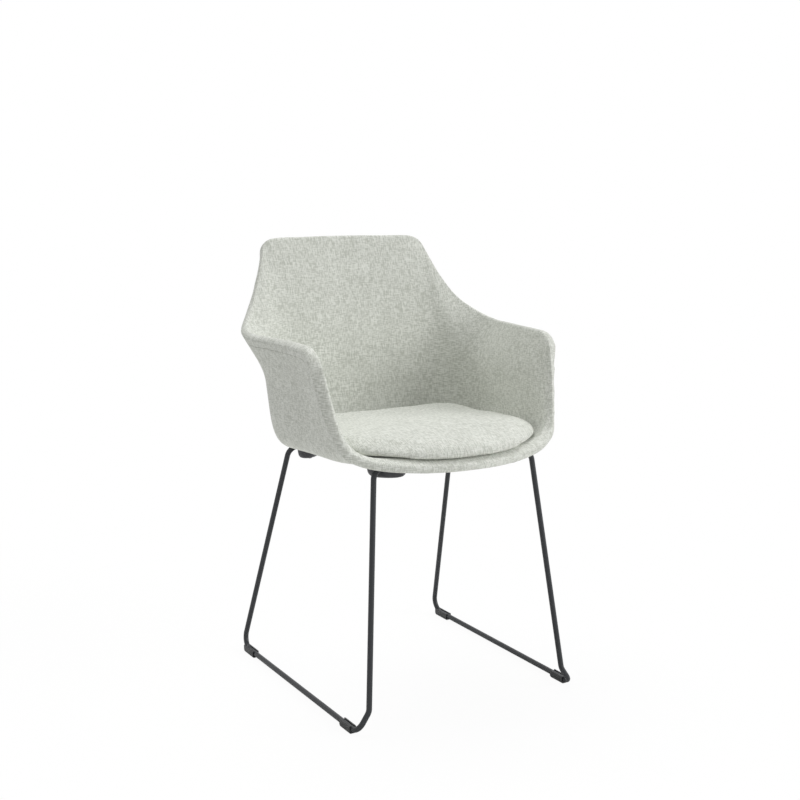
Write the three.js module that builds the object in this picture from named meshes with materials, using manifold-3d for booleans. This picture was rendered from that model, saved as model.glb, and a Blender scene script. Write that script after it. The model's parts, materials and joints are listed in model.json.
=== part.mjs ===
// Sled base visitor chair: an upholstered bucket shell with a loose seat pad, screwed
// through four oval clamp blocks to a bent steel wire frame on two runners.
// Millimetres, +Z up, the sitter looks along -Y and the left side is at -X.

import * as THREE from 'three';
import { mergeVertices } from 'three/addons/utils/BufferGeometryUtils.js';
import Module from 'manifold-3d';

const wasm = await Module();
wasm.setup();

// Fits shared by every piece
const fitGap = 0.3;
const cutOverrun = 5;
const weldTolerance = 1e-4;

// Steel wire frame: one wire diameter throughout
const rodDiameter = 10;
const floorToRunner = 8;
const runnerSpan = 450;
const frontBarHeight = 447.5;
const rearBarHeight = 435.6;
const barSpacing = 295.4;
const frontCornerSpan = 325.6;
const rearCornerSpan = 364.6;
const frontLegKinkSpan = 405.6;
const frontLegKinkHeight = 40.7;
const frontRunnerReach = 53.4;
const rearRunnerReach = 141.2;
const topBendRadius = 20;
const kinkBendRadius = 22;
const frontFootBendRadius = 18;
const rearFootBendRadius = 23;

// Clip-on runner glides
const glideWidth = 13;
const glideRiseOverRunner = 5.8;
const glideSlotWidth = 6;
const frontGlideLength = 38;
const rearGlideLength = 44;
const frontGlideInset = 17.7;
const rearGlideInset = 17.2;
const glideHeelRadius = 7;
const glideLowerEdgeRadius = 3;
const glideUpperEdgeRadius = 1.5;

// Clamp blocks under the seat
const blockLength = 71;
const blockWidth = 38;
const blockDepth = 19;
const blockTurn = THREE.MathUtils.degToRad(45);
const blockCornerOffset = 33.5;
const blockBarOffset = 15;
const stubPastBlockCentre = 5;
const blockMouthFlare = 4;
const blockMouthDepth = 10;
const blockMouthOffset = 7;

// Fixings: one screw into a threaded insert at each block
const screwBarOffset = 23;
const screwCornerOffset = 30.5;
const screwDiameter = 6;
const screwHeadDiameter = 9;
const screwHeadHeight = 4.6;
const screwHeadProud = 2.3;
const screwSocketAcross = 4;
const screwSocketDepth = 2.4;
const bossDiameter = 20;
const bossRoot = 3;
const insertDiameter = 9;
const insertLength = 5.7;
const insertGrooveDepth = 0.5;
const insertGrooveWidth = 1.2;

// Bucket shell layers, from the sitter outward
const coverGapOverRod = 1;
const outerPadThickness = 3;
const mouldingThickness = 4;
const innerPadThickness = 5;
const lipThickness = 22;
const lipOverhang = 6;
const lipSeamSetback = 12;
const lipSeamGap = 1;

// Bucket shell form
const seatCentreReach = 137.6;
const lipReach = 69;
const lipDrop = 14;
const armFrontReach = 62;
const armFrontHalfWidth = 238;
const armFrontHeight = 647.7;
const armRearSetback = 29.7;
const armRearHalfWidth = 259;
const armRearHeight = 654.7;
const backCornerHalfWidth = 174;
const backCornerSetback = 118;
const backCornerHeight = 808.7;
const backTopSetback = 126;
const backTopHeight = 820.7;
const rimFlare = 20;
const flareStartShare = 0.72;

// Seat pad on its carrier board
const padHalfWidth = 216;
const padFrontReach = 216;
const padRearReach = 152;
const padThickness = 30;
const padCrown = 5;
const padFrontFall = 13;
const padFallStart = 90;
const padEdgeGap = 2;
const boardThickness = 3;
const boardInset = 42;

const rodRadius = rodDiameter / 2;

// Facet counts
const rodSides = 10;
const bendSteps = 5;
const heelSteps = 5;
const edgeSteps = 2;
const channelSteps = 10;
const cylinderSides = 16;
const turnedSides = 8;
const socketSides = 6;

const finishes = {
  steel: { color: 0x2f3133, roughness: 0.45, metalness: 0.6 },
  glidePlastic: { color: 0x232425, roughness: 0.55, metalness: 0 },
  blockPlastic: { color: 0x2a2b2d, roughness: 0.55, metalness: 0 },
  screw: { color: 0x1f2022, roughness: 0.4, metalness: 0.8 },
  brass: { color: 0xb08d4a, roughness: 0.35, metalness: 1 },
  shellPlastic: { color: 0x3a3c3d, roughness: 0.6, metalness: 0 },
  cloth: { color: 0xd2d6cd, roughness: 0.95, metalness: 0 },
  boardPlastic: { color: 0x222324, roughness: 0.7, metalness: 0 },
};

const group = new THREE.Group();
const chair = new THREE.Group();
group.add(chair);

function addPiece(parent, name, geometry, finish) {
  const piece = new THREE.Mesh(geometry, new THREE.MeshStandardMaterial(finishes[finish]));
  piece.name = name;
  parent.add(piece);
}

// Booleans

function toSolid(geometry) {
  const bare = geometry.clone();
  bare.deleteAttribute('normal');
  bare.deleteAttribute('uv');
  const merged = mergeVertices(bare, weldTolerance);
  return new wasm.Manifold(new wasm.Mesh({
    numProp: 3,
    vertProperties: new Float32Array(merged.attributes.position.array),
    triVerts: new Uint32Array(merged.index.array),
  }));
}

function toGeometry(solid) {
  const mesh = solid.getMesh();
  const geometry = new THREE.BufferGeometry();
  geometry.setAttribute('position', new THREE.BufferAttribute(new Float32Array(mesh.vertProperties), 3));
  geometry.setIndex(new THREE.BufferAttribute(new Uint32Array(mesh.triVerts), 1));
  geometry.computeVertexNormals();
  return geometry;
}

// Cuts the tools away and keeps the main body, without any sliver a near-tangent cut leaves
function cut(geometry, ...tools) {
  const bodies = tools.reduce((solid, tool) => solid.subtract(toSolid(tool)), toSolid(geometry)).decompose();
  return toGeometry(bodies.sort((one, other) => other.volume() - one.volume())[0]);
}

function join(geometry, ...others) {
  return toGeometry(others.reduce((solid, other) => solid.add(toSolid(other)), toSolid(geometry)));
}

function common(geometry, other) {
  return toGeometry(toSolid(geometry).intersect(toSolid(other)));
}

// Shared solids

// An upright cylinder between two heights
function uprightCylinder(radius, low, high, sides = cylinderSides) {
  const geometry = new THREE.CylinderGeometry(radius, radius, high - low, sides);
  return geometry.rotateX(Math.PI / 2).translate(0, 0, (low + high) / 2);
}

// A box between two corners
function boxBetween(low, high) {
  const size = high.clone().sub(low);
  const middle = low.clone().add(high).multiplyScalar(0.5);
  return new THREE.BoxGeometry(size.x, size.y, size.z).translate(middle.x, middle.y, middle.z);
}

// A closed body of revolution about Z from [radius, height] pairs that start and end on the axis
// or return to their start
function turned(profile) {
  const points = profile.map(([radius, height]) => new THREE.Vector2(radius, height));
  return new THREE.LatheGeometry(points, turnedSides).rotateX(Math.PI / 2);
}

// A closed body from sections set around the Z axis. Every section runs from a shared
// point on the upper face, out round the edge and back to a shared point on the lower one.
// From the ring `underside` on, faces are split the other way, so that the two sides of a
// narrow gap between two bodies are split alike.
function closedLoft(sections, upperPole, lowerPole, underside = Infinity) {
  const ringLength = sections[0].length;
  const points = [...sections.flat(), upperPole, lowerPole];
  const upper = points.length - 2;
  const lower = points.length - 1;
  const indices = [];
  sections.forEach((_, i) => {
    const here = i * ringLength;
    const next = ((i + 1) % sections.length) * ringLength;
    indices.push(upper, here, next);
    for (let j = 0; j + 1 < ringLength; j += 1) {
      if (j < underside) {
        indices.push(here + j, here + j + 1, next + j, next + j, here + j + 1, next + j + 1);
      } else {
        indices.push(here + j, here + j + 1, next + j + 1, here + j, next + j + 1, next + j);
      }
    }
    indices.push(here + ringLength - 1, lower, next + ringLength - 1);
  });
  const geometry = new THREE.BufferGeometry().setFromPoints(points);
  geometry.setIndex(indices);
  geometry.computeVertexNormals();
  return geometry;
}

// Wire frame

// A centre line through corner points with a round bend at each inner corner. Its own
// stations serve as the spaced points, so bends get steps and straight runs get one.
class BentRodPath extends THREE.Curve {
  constructor(corners, radii) {
    super();
    this.stations = [corners[0].clone()];
    this.tangents = [corners[1].clone().sub(corners[0]).normalize()];
    radii.forEach((radius, i) => this.addBend(corners[i], corners[i + 1], corners[i + 2], radius));
    const last = corners[corners.length - 1];
    this.stations.push(last.clone());
    this.tangents.push(last.clone().sub(corners[corners.length - 2]).normalize());
  }

  addBend(before, corner, after, radius) {
    const into = corner.clone().sub(before).normalize();
    const out = after.clone().sub(corner).normalize();
    const turn = into.angleTo(out);
    const axis = into.clone().cross(out).normalize();
    const start = corner.clone().addScaledVector(into, -radius * Math.tan(turn / 2));
    const centre = start.clone().addScaledVector(axis.clone().cross(into), radius);
    for (let i = 0; i <= bendSteps; i += 1) {
      const swing = (turn * i) / bendSteps;
      this.stations.push(start.clone().sub(centre).applyAxisAngle(axis, swing).add(centre));
      this.tangents.push(into.clone().applyAxisAngle(axis, swing));
    }
  }

  getUtoTmapping(u) {
    return u;
  }

  getPoint(t, target = new THREE.Vector3()) {
    return target.copy(this.stations[Math.round(t * (this.stations.length - 1))]);
  }

  getTangent(t, target = new THREE.Vector3()) {
    return target.copy(this.tangents[Math.round(t * (this.tangents.length - 1))]);
  }
}

function rodGeometry(path, radius = rodRadius) {
  const section = new THREE.Shape();
  for (let i = 0; i < rodSides; i += 1) {
    const angle = (2 * Math.PI * i) / rodSides;
    section[i ? 'lineTo' : 'moveTo'](radius * Math.cos(angle), radius * Math.sin(angle));
  }
  return new THREE.ExtrudeGeometry(section, {
    extrudePath: path,
    steps: path.stations.length - 1,
    bevelEnabled: false,
  });
}

const frontBarY = -barSpacing / 2;
const rearBarY = barSpacing / 2;
const frontRunnerY = frontBarY - frontRunnerReach;
const rearRunnerY = rearBarY + rearRunnerReach;
const stubLength = blockCornerOffset + stubPastBlockCentre;

function sideFramePath(side) {
  const x = (span) => (side * span) / 2;
  return new BentRodPath([
    new THREE.Vector3(x(frontCornerSpan) - side * stubLength, frontBarY, frontBarHeight),
    new THREE.Vector3(x(frontCornerSpan), frontBarY, frontBarHeight),
    new THREE.Vector3(x(frontLegKinkSpan), frontRunnerY, frontLegKinkHeight),
    new THREE.Vector3(x(runnerSpan), frontRunnerY, floorToRunner),
    new THREE.Vector3(x(runnerSpan), rearRunnerY, floorToRunner),
    new THREE.Vector3(x(rearCornerSpan), rearBarY, rearBarHeight),
    new THREE.Vector3(x(rearCornerSpan) - side * stubLength, rearBarY, rearBarHeight),
  ], [topBendRadius, kinkBendRadius, frontFootBendRadius, rearFootBendRadius, topBendRadius]);
}

function crossbarPath(cornerSpan, y, height) {
  const halfSpan = cornerSpan / 2 - stubLength - fitGap;
  return new BentRodPath([
    new THREE.Vector3(-halfSpan, y, height),
    new THREE.Vector3(halfSpan, y, height),
  ], []);
}

const sides = [['left', -1], ['right', 1]];
for (const [name, side] of sides) {
  addPiece(chair, `side_frame_${name}`, rodGeometry(sideFramePath(side)), 'steel');
}
const frontCrossbar = crossbarPath(frontCornerSpan, frontBarY, frontBarHeight);
const rearCrossbar = crossbarPath(rearCornerSpan, rearBarY, rearBarHeight);
addPiece(chair, 'front_crossbar', rodGeometry(frontCrossbar), 'steel');
addPiece(chair, 'rear_crossbar', rodGeometry(rearCrossbar), 'steel');

// Glides: a clip that grips the runner all round but for a slot along its top

const glideTop = floorToRunner + glideRiseOverRunner;

// Side outline with a round heel at its rear lower corner, run across the glide's width
function glideSideBlank(x, rearY, length) {
  const outline = new THREE.Shape();
  outline.moveTo(-length, 0);
  outline.lineTo(-glideHeelRadius, 0);
  outline.absarc(-glideHeelRadius, glideHeelRadius, glideHeelRadius, -Math.PI / 2, 0, false);
  outline.lineTo(0, glideTop);
  outline.lineTo(-length, glideTop);
  const blank = new THREE.ExtrudeGeometry(outline, {
    depth: glideWidth,
    bevelEnabled: false,
    curveSegments: heelSteps,
  });
  blank.applyMatrix4(new THREE.Matrix4().makeBasis(
    new THREE.Vector3(0, 1, 0),
    new THREE.Vector3(0, 0, 1),
    new THREE.Vector3(1, 0, 0),
  ));
  return blank.translate(x - glideWidth / 2, rearY, 0);
}

// End outline with round lower and upper edges, run along the glide and past both its ends
function glideEndBlank(x, rearY, length) {
  const lower = glideLowerEdgeRadius;
  const upper = glideUpperEdgeRadius;
  const half = glideWidth / 2;
  const outline = new THREE.Shape();
  outline.absarc(half - lower, lower, lower, -Math.PI / 2, 0, false);
  outline.absarc(half - upper, glideTop - upper, upper, 0, Math.PI / 2, false);
  outline.absarc(upper - half, glideTop - upper, upper, Math.PI / 2, Math.PI, false);
  outline.absarc(lower - half, lower, lower, Math.PI, Math.PI * 1.5, false);
  const blank = new THREE.ExtrudeGeometry(outline, {
    depth: length + 2 * cutOverrun,
    bevelEnabled: false,
    curveSegments: edgeSteps,
  });
  return blank.rotateX(Math.PI / 2).translate(x, rearY + cutOverrun, 0);
}

function glideGeometry(side, rearY, length) {
  const x = (side * runnerSpan) / 2;
  const slot = boxBetween(
    new THREE.Vector3(x - glideSlotWidth / 2, rearY - length - cutOverrun, floorToRunner),
    new THREE.Vector3(x + glideSlotWidth / 2, rearY + cutOverrun, glideTop + cutOverrun),
  );
  const groove = rodGeometry(sideFramePath(side), rodRadius + fitGap);
  const blank = common(glideSideBlank(x, rearY, length), glideEndBlank(x, rearY, length));
  return cut(blank, slot, groove);
}

for (const [name, side] of sides) {
  const frontGlide = glideGeometry(side, frontRunnerY + frontGlideInset + frontGlideLength, frontGlideLength);
  const rearGlide = glideGeometry(side, rearRunnerY - rearGlideInset, rearGlideLength);
  addPiece(chair, `glide_front_${name}`, frontGlide, 'glidePlastic');
  addPiece(chair, `glide_rear_${name}`, rearGlide, 'glidePlastic');
}

// Seat group: its plane holds both bars, so Z is zero at the bar centres and the
// blocks, fixings and pad are built square to the seat

const seatTilt = Math.atan((frontBarHeight - rearBarHeight) / barSpacing);
const seatBarY = barSpacing / (2 * Math.cos(seatTilt));
const seat = new THREE.Group();
seat.position.z = (frontBarHeight + rearBarHeight) / 2;
seat.rotation.x = -seatTilt;
seat.updateMatrix();
chair.add(seat);

const coverUnderside = rodRadius + coverGapOverRod;
const mouldingUnderside = coverUnderside + outerPadThickness + fitGap;
const seatFloor = mouldingUnderside + mouldingThickness + fitGap + innerPadThickness;

const corners = sides.flatMap(([sideName, side]) => [
  { name: `front_${sideName}`, side, end: -1, cornerX: frontCornerSpan / 2 },
  { name: `rear_${sideName}`, side, end: 1, cornerX: rearCornerSpan / 2 },
]);

function fixingPlace({ side, end, cornerX }) {
  return new THREE.Vector3(side * (cornerX - screwCornerOffset), end * (seatBarY - screwBarOffset), 0);
}

// Clamp blocks: share of the half axes, share of the way down
const blockShares = [
  [1.00, 0.00],
  [1.00, 0.40],
  [0.97, 0.64],
  [0.91, 0.82],
  [0.81, 0.94],
  [0.66, 1.00],
];
const blockTop = coverUnderside - fitGap;
const blockSteps = 24;

function blockBlank({ side, end, cornerX }) {
  const centreX = side * (cornerX - blockCornerOffset);
  const centreY = end * (seatBarY - blockBarOffset);
  const turn = side * end * blockTurn;
  const sections = Array.from({ length: blockSteps }, (_, i) => {
    const angle = (2 * Math.PI * i) / blockSteps;
    return blockShares.map(([spread, down]) => new THREE.Vector3(
      (spread * blockLength * Math.cos(angle)) / 2,
      (spread * blockWidth * Math.sin(angle)) / 2,
      THREE.MathUtils.lerp(blockTop, -blockDepth, down),
    ));
  });
  const blank = closedLoft(sections, new THREE.Vector3(0, 0, blockTop), new THREE.Vector3(0, 0, -blockDepth));
  return blank.rotateZ(-turn).translate(centreX, centreY, 0);
}

// The rod's channel is open towards the seat and flares where the rod enters
function blockChannel({ side, end, cornerX }) {
  const radius = rodRadius + fitGap;
  const reach = cornerX + blockLength;
  const outline = new THREE.Shape();
  outline.absarc(0, 0, radius, Math.PI, 2 * Math.PI, false);
  outline.lineTo(radius, blockTop + cutOverrun);
  outline.lineTo(-radius, blockTop + cutOverrun);
  const channel = new THREE.ExtrudeGeometry(outline, {
    depth: 2 * reach,
    bevelEnabled: false,
    curveSegments: channelSteps,
  });
  channel.applyMatrix4(new THREE.Matrix4().makeBasis(
    new THREE.Vector3(0, 1, 0),
    new THREE.Vector3(0, 0, 1),
    new THREE.Vector3(1, 0, 0),
  ));
  const mouthX = side * (cornerX - blockCornerOffset + blockMouthOffset + blockMouthDepth / 2);
  const wideRadius = radius + blockMouthFlare;
  const mouth = new THREE.CylinderGeometry(rodRadius, wideRadius, blockMouthDepth, cylinderSides)
    .rotateZ((side * Math.PI) / 2).translate(mouthX, end * seatBarY, 0);
  return [channel.translate(-reach, end * seatBarY, 0), mouth];
}

function blockGeometry(corner) {
  const place = fixingPlace(corner);
  const shank = uprightCylinder(screwDiameter / 2 + fitGap, -blockDepth - cutOverrun, blockTop + cutOverrun);
  const headTop = screwHeadHeight - screwHeadProud - blockDepth;
  const head = uprightCylinder(screwHeadDiameter / 2 + fitGap, -blockDepth - cutOverrun, headTop + fitGap);
  const fixing = [shank, head].map((tool) => tool.translate(place.x, place.y, 0));
  return cut(blockBlank(corner), ...blockChannel(corner), ...fixing);
}

// Screws: round head below the block, hexagon socket, plain shank up into the insert. The
// head's profile from its low end up: share of its radius, share of its height
const screwHeadShares = [
  [0.72, 0.00],
  [0.93, 0.12],
  [1.00, 0.36],
  [1.00, 1.00],
];

function screwGeometry() {
  const headRadius = screwHeadDiameter / 2;
  const headLow = -blockDepth - screwHeadProud;
  const headHigh = headLow + screwHeadHeight;
  const shankHigh = coverUnderside + insertLength;
  const body = turned([
    [0, headLow],
    ...screwHeadShares.map(([spread, up]) => [headRadius * spread, headLow + screwHeadHeight * up]),
    [screwDiameter / 2, headHigh],
    [screwDiameter / 2, shankHigh - screwDiameter / 4],
    [screwDiameter / 4, shankHigh],
    [0, shankHigh],
  ]);
  const socketRadius = screwSocketAcross / Math.sqrt(3);
  const socketLow = headLow - cutOverrun;
  return cut(body, uprightCylinder(socketRadius, socketLow, headLow + screwSocketDepth, socketSides));
}

// Threaded inserts: a plain tube with one groove round its middle
function insertGeometry() {
  const outer = insertDiameter / 2;
  const inner = screwDiameter / 2 + fitGap;
  const low = coverUnderside + fitGap;
  const high = low + insertLength;
  const grooveLow = low + (insertLength - insertGrooveWidth) / 2;
  return turned([
    [inner, low],
    [outer, low],
    [outer, grooveLow],
    [outer - insertGrooveDepth, grooveLow],
    [outer - insertGrooveDepth, grooveLow + insertGrooveWidth],
    [outer, grooveLow + insertGrooveWidth],
    [outer, high],
    [inner, high],
    [inner, low],
  ]);
}

for (const corner of corners) {
  const place = fixingPlace(corner);
  addPiece(seat, `mount_block_${corner.name}`, blockGeometry(corner), 'blockPlastic');
  addPiece(seat, `mount_screw_${corner.name}`, screwGeometry().translate(place.x, place.y, 0), 'screw');
  addPiece(seat, `threaded_insert_${corner.name}`, insertGeometry().translate(place.x, place.y, 0), 'brass');
}

// Bucket shell surface: each section stands between a point of the seat's edge and a
// point of the rim, round at the heel and up the wall.

const seatCentreY = frontBarY + seatCentreReach;

function seatPlane(y) {
  return frontBarHeight - Math.tan(seatTilt) * (y - frontBarY) + seatFloor / Math.cos(seatTilt);
}

const lipFrontY = frontBarY - lipReach;
const lipFront = new THREE.Vector3(0, lipFrontY, seatPlane(lipFrontY) - lipDrop);
const armFront = new THREE.Vector3(armFrontHalfWidth, frontBarY + armFrontReach, armFrontHeight);
const armRear = new THREE.Vector3(armRearHalfWidth, rearBarY - armRearSetback, armRearHeight);
const backCorner = new THREE.Vector3(backCornerHalfWidth, rearBarY + backCornerSetback, backCornerHeight);
const backTop = new THREE.Vector3(0, rearBarY + backTopSetback, backTopHeight);

// Rim stations between two named corners: shares of the way in width, depth and height,
// the seat's edge there as shares of the rim's width and reach from the seat centre,
// then heel, rise and lean of the wall, flare of the edge and thickness of the lip
const lipShares = [
  [0.000, 0.000, 0.000, 0.90, 0.80, 0.60, 0.40, 0.50, 0.0, 0.66],
  [0.314, 0.068, 0.002, 0.90, 0.80, 0.60, 0.40, 0.50, 0.0, 0.66],
  [0.496, 0.170, 0.015, 0.88, 0.80, 0.60, 0.40, 0.45, 0.0, 0.66],
  [0.660, 0.305, 0.040, 0.86, 0.81, 0.62, 0.40, 0.35, 0.1, 0.68],
  [0.800, 0.455, 0.090, 0.81, 0.84, 0.68, 0.38, 0.25, 0.2, 0.74],
  [0.878, 0.540, 0.160, 0.78, 0.88, 0.78, 0.34, 0.18, 0.3, 0.82],
  [0.918, 0.615, 0.278, 0.77, 0.90, 0.84, 0.30, 0.14, 0.3, 0.90],
  [0.950, 0.700, 0.465, 0.77, 0.91, 0.88, 0.26, 0.12, 0.3, 0.95],
  [0.974, 0.790, 0.690, 0.77, 0.92, 0.90, 0.24, 0.12, 0.3, 1.00],
  [0.992, 0.905, 0.900, 0.77, 0.94, 0.90, 0.22, 0.12, 0.3, 1.00],
];
const armShares = [
  [0.00, 0.06, 0.00, 0.77, 0.93, 0.90, 0.22, 0.12, 0.3, 1.00],
  [0.04, 0.22, 0.55, 0.76, 0.91, 0.89, 0.22, 0.12, 0.4, 0.98],
  [0.20, 0.45, 0.75, 0.74, 0.88, 0.87, 0.22, 0.12, 0.5, 0.92],
  [0.60, 0.75, 0.88, 0.69, 0.80, 0.86, 0.22, 0.14, 0.7, 0.84],
];
const wingShares = [
  [0.00, 0.00, 0.00, 0.64, 0.69, 0.86, 0.22, 0.18, 1.0, 0.78],
  [0.04, 0.28, 0.06, 0.65, 0.60, 0.87, 0.24, 0.25, 1.0, 0.72],
  [0.36, 0.58, 0.26, 0.71, 0.51, 0.85, 0.26, 0.35, 0.7, 0.66],
  [0.65, 0.78, 0.55, 0.77, 0.49, 0.77, 0.28, 0.45, 0.4, 0.62],
  [0.90, 0.94, 0.88, 0.83, 0.49, 0.71, 0.30, 0.50, 0.3, 0.60],
];
const topShares = [
  [0.00, 0.00, 0.00, 0.84, 0.46, 0.70, 0.30, 0.52, 0.3, 0.60],
  [0.09, 0.15, 0.70, 0.85, 0.48, 0.71, 0.30, 0.52, 0.3, 0.60],
  [0.50, 0.60, 0.92, 0.87, 0.50, 0.74, 0.30, 0.48, 0.3, 0.60],
  [1.00, 1.00, 1.00, 0.87, 0.50, 0.74, 0.30, 0.48, 0.3, 0.60],
];

function stationsBetween(from, to, shares) {
  return shares.map(([x, y, z, floorX, floorY, heel, rise, lean, flare, lip]) => {
    const rim = new THREE.Vector3(
      THREE.MathUtils.lerp(from.x, to.x, x),
      THREE.MathUtils.lerp(from.y, to.y, y),
      THREE.MathUtils.lerp(from.z, to.z, z),
    );
    return {
      rim,
      floor: new THREE.Vector3(rim.x * floorX, seatCentreY + (rim.y - seatCentreY) * floorY, 0),
      wall: new THREE.Vector3(heel, rise, lean),
      edge: new THREE.Vector3(flare * rimFlare, lip * lipThickness, 0),
    };
  });
}

const halfStations = [
  ...stationsBetween(lipFront, armFront, lipShares),
  ...stationsBetween(armFront, armRear, armShares),
  ...stationsBetween(armRear, backCorner, wingShares),
  ...stationsBetween(backCorner, backTop, topShares),
];

// Closes half a row of points into a loop, its other half mirrored in width where asked
function mirroredLoop(half, mirrored = true) {
  const other = half.slice(1, -1).reverse().map((value) => (
    new THREE.Vector3(mirrored ? -value.x : value.x, value.y, value.z)
  ));
  return new THREE.CatmullRomCurve3([...half, ...other], true, 'centripetal');
}

const rimCurve = mirroredLoop(halfStations.map((station) => station.rim));
const floorCurve = mirroredLoop(halfStations.map((station) => station.floor));
const wallCurve = mirroredLoop(halfStations.map((station) => station.wall), false);
const edgeCurve = mirroredLoop(halfStations.map((station) => station.edge), false);
const stationCount = 2 * (halfStations.length - 1);

function bezier(a, b, c, d, t) {
  const s = 1 - t;
  return s * s * s * a + 3 * s * s * t * b + 3 * s * t * t * c + t * t * t * d;
}

// A point of the sitter's side: around the loop, then w from -1 at the seat centre
// through 0 where the floor ends to 1 at the rim
function surfacePoint(around, w) {
  const turn = ((around % 1) + 1) % 1;
  const floor = floorCurve.getPoint(turn);
  if (w <= 0) {
    const x = floor.x * (1 + w);
    const y = seatCentreY + (floor.y - seatCentreY) * (1 + w);
    return new THREE.Vector3(x, y, seatPlane(y));
  }
  const rim = rimCurve.getPoint(turn);
  const { x: heel, y: rise, z: lean } = wallCurve.getPoint(turn);
  const flare = edgeCurve.getPoint(turn).x;
  const reach = Math.hypot(rim.x - floor.x, rim.y - floor.y);
  const flareShare = Math.max(0, (w - flareStartShare) / (1 - flareStartShare)) ** 2;
  const run = (reach - flare) * bezier(0, heel, 1 - lean, 1, w) + flare * flareShare;
  const x = THREE.MathUtils.lerp(floor.x, rim.x, run / reach);
  const y = THREE.MathUtils.lerp(floor.y, rim.y, run / reach);
  return new THREE.Vector3(x, y, THREE.MathUtils.lerp(seatPlane(y), rim.z, bezier(0, 0, rise, 1, w)));
}

// Halves the span until a rising measure meets its target
function solveRising(measure, target, low, high, halvings = 18) {
  let [below, above] = [low, high];
  for (let i = 0; i < halvings; i += 1) {
    const middle = (below + above) / 2;
    [below, above] = measure(middle) < target ? [middle, above] : [below, middle];
  }
  return (below + above) / 2;
}

// How far the sitter's side stands above the seat plane at a place in plan
function surfaceRise(x, y) {
  const reach = Math.hypot(x, y - seatCentreY);
  const bearing = Math.atan2(y - seatCentreY, Math.abs(x));
  const pointAt = (around) => {
    const planReach = (w) => {
      const point = surfacePoint(around, w);
      return Math.hypot(point.x, point.y - seatCentreY);
    };
    return surfacePoint(around, solveRising(planReach, reach, -1, 1));
  };
  const planBearing = (around) => {
    const point = pointAt(around);
    return Math.atan2(point.y - seatCentreY, point.x);
  };
  const point = pointAt(solveRising(planBearing, bearing, 0, 0.5));
  return point.z - seatPlane(point.y);
}

const slopeStep = 1e-3;
const seatNormal = new THREE.Vector3(0, Math.sin(seatTilt), Math.cos(seatTilt));

// Unit vector from the sitter into the shell
function surfaceAway(around, w) {
  const low = Math.max(-1 + slopeStep, Math.min(w, 1) - slopeStep);
  const high = Math.min(1, Math.max(w, -1 + slopeStep) + slopeStep);
  const along = surfacePoint(around, high).sub(surfacePoint(around, low));
  const across = surfacePoint(around + slopeStep, w).sub(surfacePoint(around - slopeStep, w));
  return across.cross(along).normalize();
}

// Places up a section that every layer shares, so that neighbours keep their gap: -1 at
// the seat centre, 0 at the floor's edge, 1 at the seam of the covers and 2 at the rim
const sectionPlaces = [-1, 0, 0.08, 0.17, 0.28, 0.42, 0.59, 0.79, 1, 2];
const mouldingDepth = innerPadThickness + fitGap;
const outerPadDepth = mouldingDepth + mouldingThickness + fitGap;
const loopSteps = stationCount * 2;

const seamShares = Array.from({ length: loopSteps }, (_, i) => {
  const rim = surfacePoint(i / loopSteps, 1);
  return solveRising((w) => -surfacePoint(i / loopSteps, w).distanceTo(rim), -lipSeamSetback, 0, 1);
});

function sectionPoint(step, place, depth) {
  const around = step / loopSteps;
  const seam = seamShares[step];
  const w = place > 1 ? THREE.MathUtils.lerp(seam, 1, place - 1) : place * (place > 0 ? seam : 1);
  return surfacePoint(around, w).addScaledVector(surfaceAway(around, w), depth);
}

// A point at a depth in the shell, moved on by `over` in line with the place before it
function layerPoint(step, place, depth, over) {
  const point = sectionPoint(step, place, depth);
  if (over === 0) {
    return point;
  }
  const before = sectionPoint(step, sectionPlaces[sectionPlaces.indexOf(place) - 1], depth);
  return point.add(point.clone().sub(before).setLength(over));
}

// A closed layer of the shell. Its profile runs out from the seat centre on one face
// and back on the other, with each point as place, depth, over and the share of the
// lip's thickness there that is added to its depth.
function layerGeometry(out, back) {
  const profile = [...out, ...back];
  const sections = Array.from({ length: loopSteps }, (_, i) => {
    const lip = edgeCurve.getPoint(i / loopSteps).y;
    return profile.slice(1, -1).map(([place, depth, over = 0, lipShare = 0]) => (
      layerPoint(i, place, depth + lipShare * lip, over)
    ));
  });
  const pole = ([, depth]) => layerPoint(0, -1, 0, 0).addScaledVector(seatNormal, -depth);
  return closedLoft(sections, pole(profile[0]), pole(profile[profile.length - 1]), out.length - 2);
}

function faceOut(depth) {
  return sectionPlaces.map((place) => [place, depth]);
}

function faceBack(depth) {
  return faceOut(depth).reverse();
}

function roundLip(radius, quarterSteps = 3) {
  return Array.from({ length: 2 * quarterSteps + 1 }, (_, i) => {
    const angle = (Math.PI * i) / (2 * quarterSteps);
    return [2, 0, radius * Math.sin(angle), (1 - Math.cos(angle)) / 2];
  });
}

// The sitter's cover turns over the rim and back down its outer side as a thick lip
const innerBody = layerGeometry([
  ...faceOut(0).slice(0, -1),
  ...roundLip(lipOverhang),
  [1, 0, 0, 1],
  [1, outerPadDepth],
  [2, outerPadDepth],
  [2, outerPadDepth, lipSeamGap],
  [2, innerPadThickness, lipSeamGap],
], faceBack(innerPadThickness));
addPiece(chair, 'inner_upholstery', innerBody, 'cloth');

function atFixings(tool) {
  return corners.map((corner) => {
    const place = fixingPlace(corner);
    return tool.clone().translate(place.x, place.y, 0).applyMatrix4(seat.matrix);
  });
}

const boss = uprightCylinder(bossDiameter / 2, coverUnderside, mouldingUnderside + bossRoot);
const insertHoleTop = coverUnderside + insertLength + 2 * fitGap;
const insertHole = uprightCylinder(insertDiameter / 2 + fitGap, coverUnderside - cutOverrun, insertHoleTop);
const mouldingBody = layerGeometry(faceOut(mouldingDepth), faceBack(mouldingDepth + mouldingThickness));
const mouldingGeometry = cut(join(mouldingBody, ...atFixings(boss)), ...atFixings(insertHole));
addPiece(chair, 'shell_moulding', mouldingGeometry, 'shellPlastic');

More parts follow.
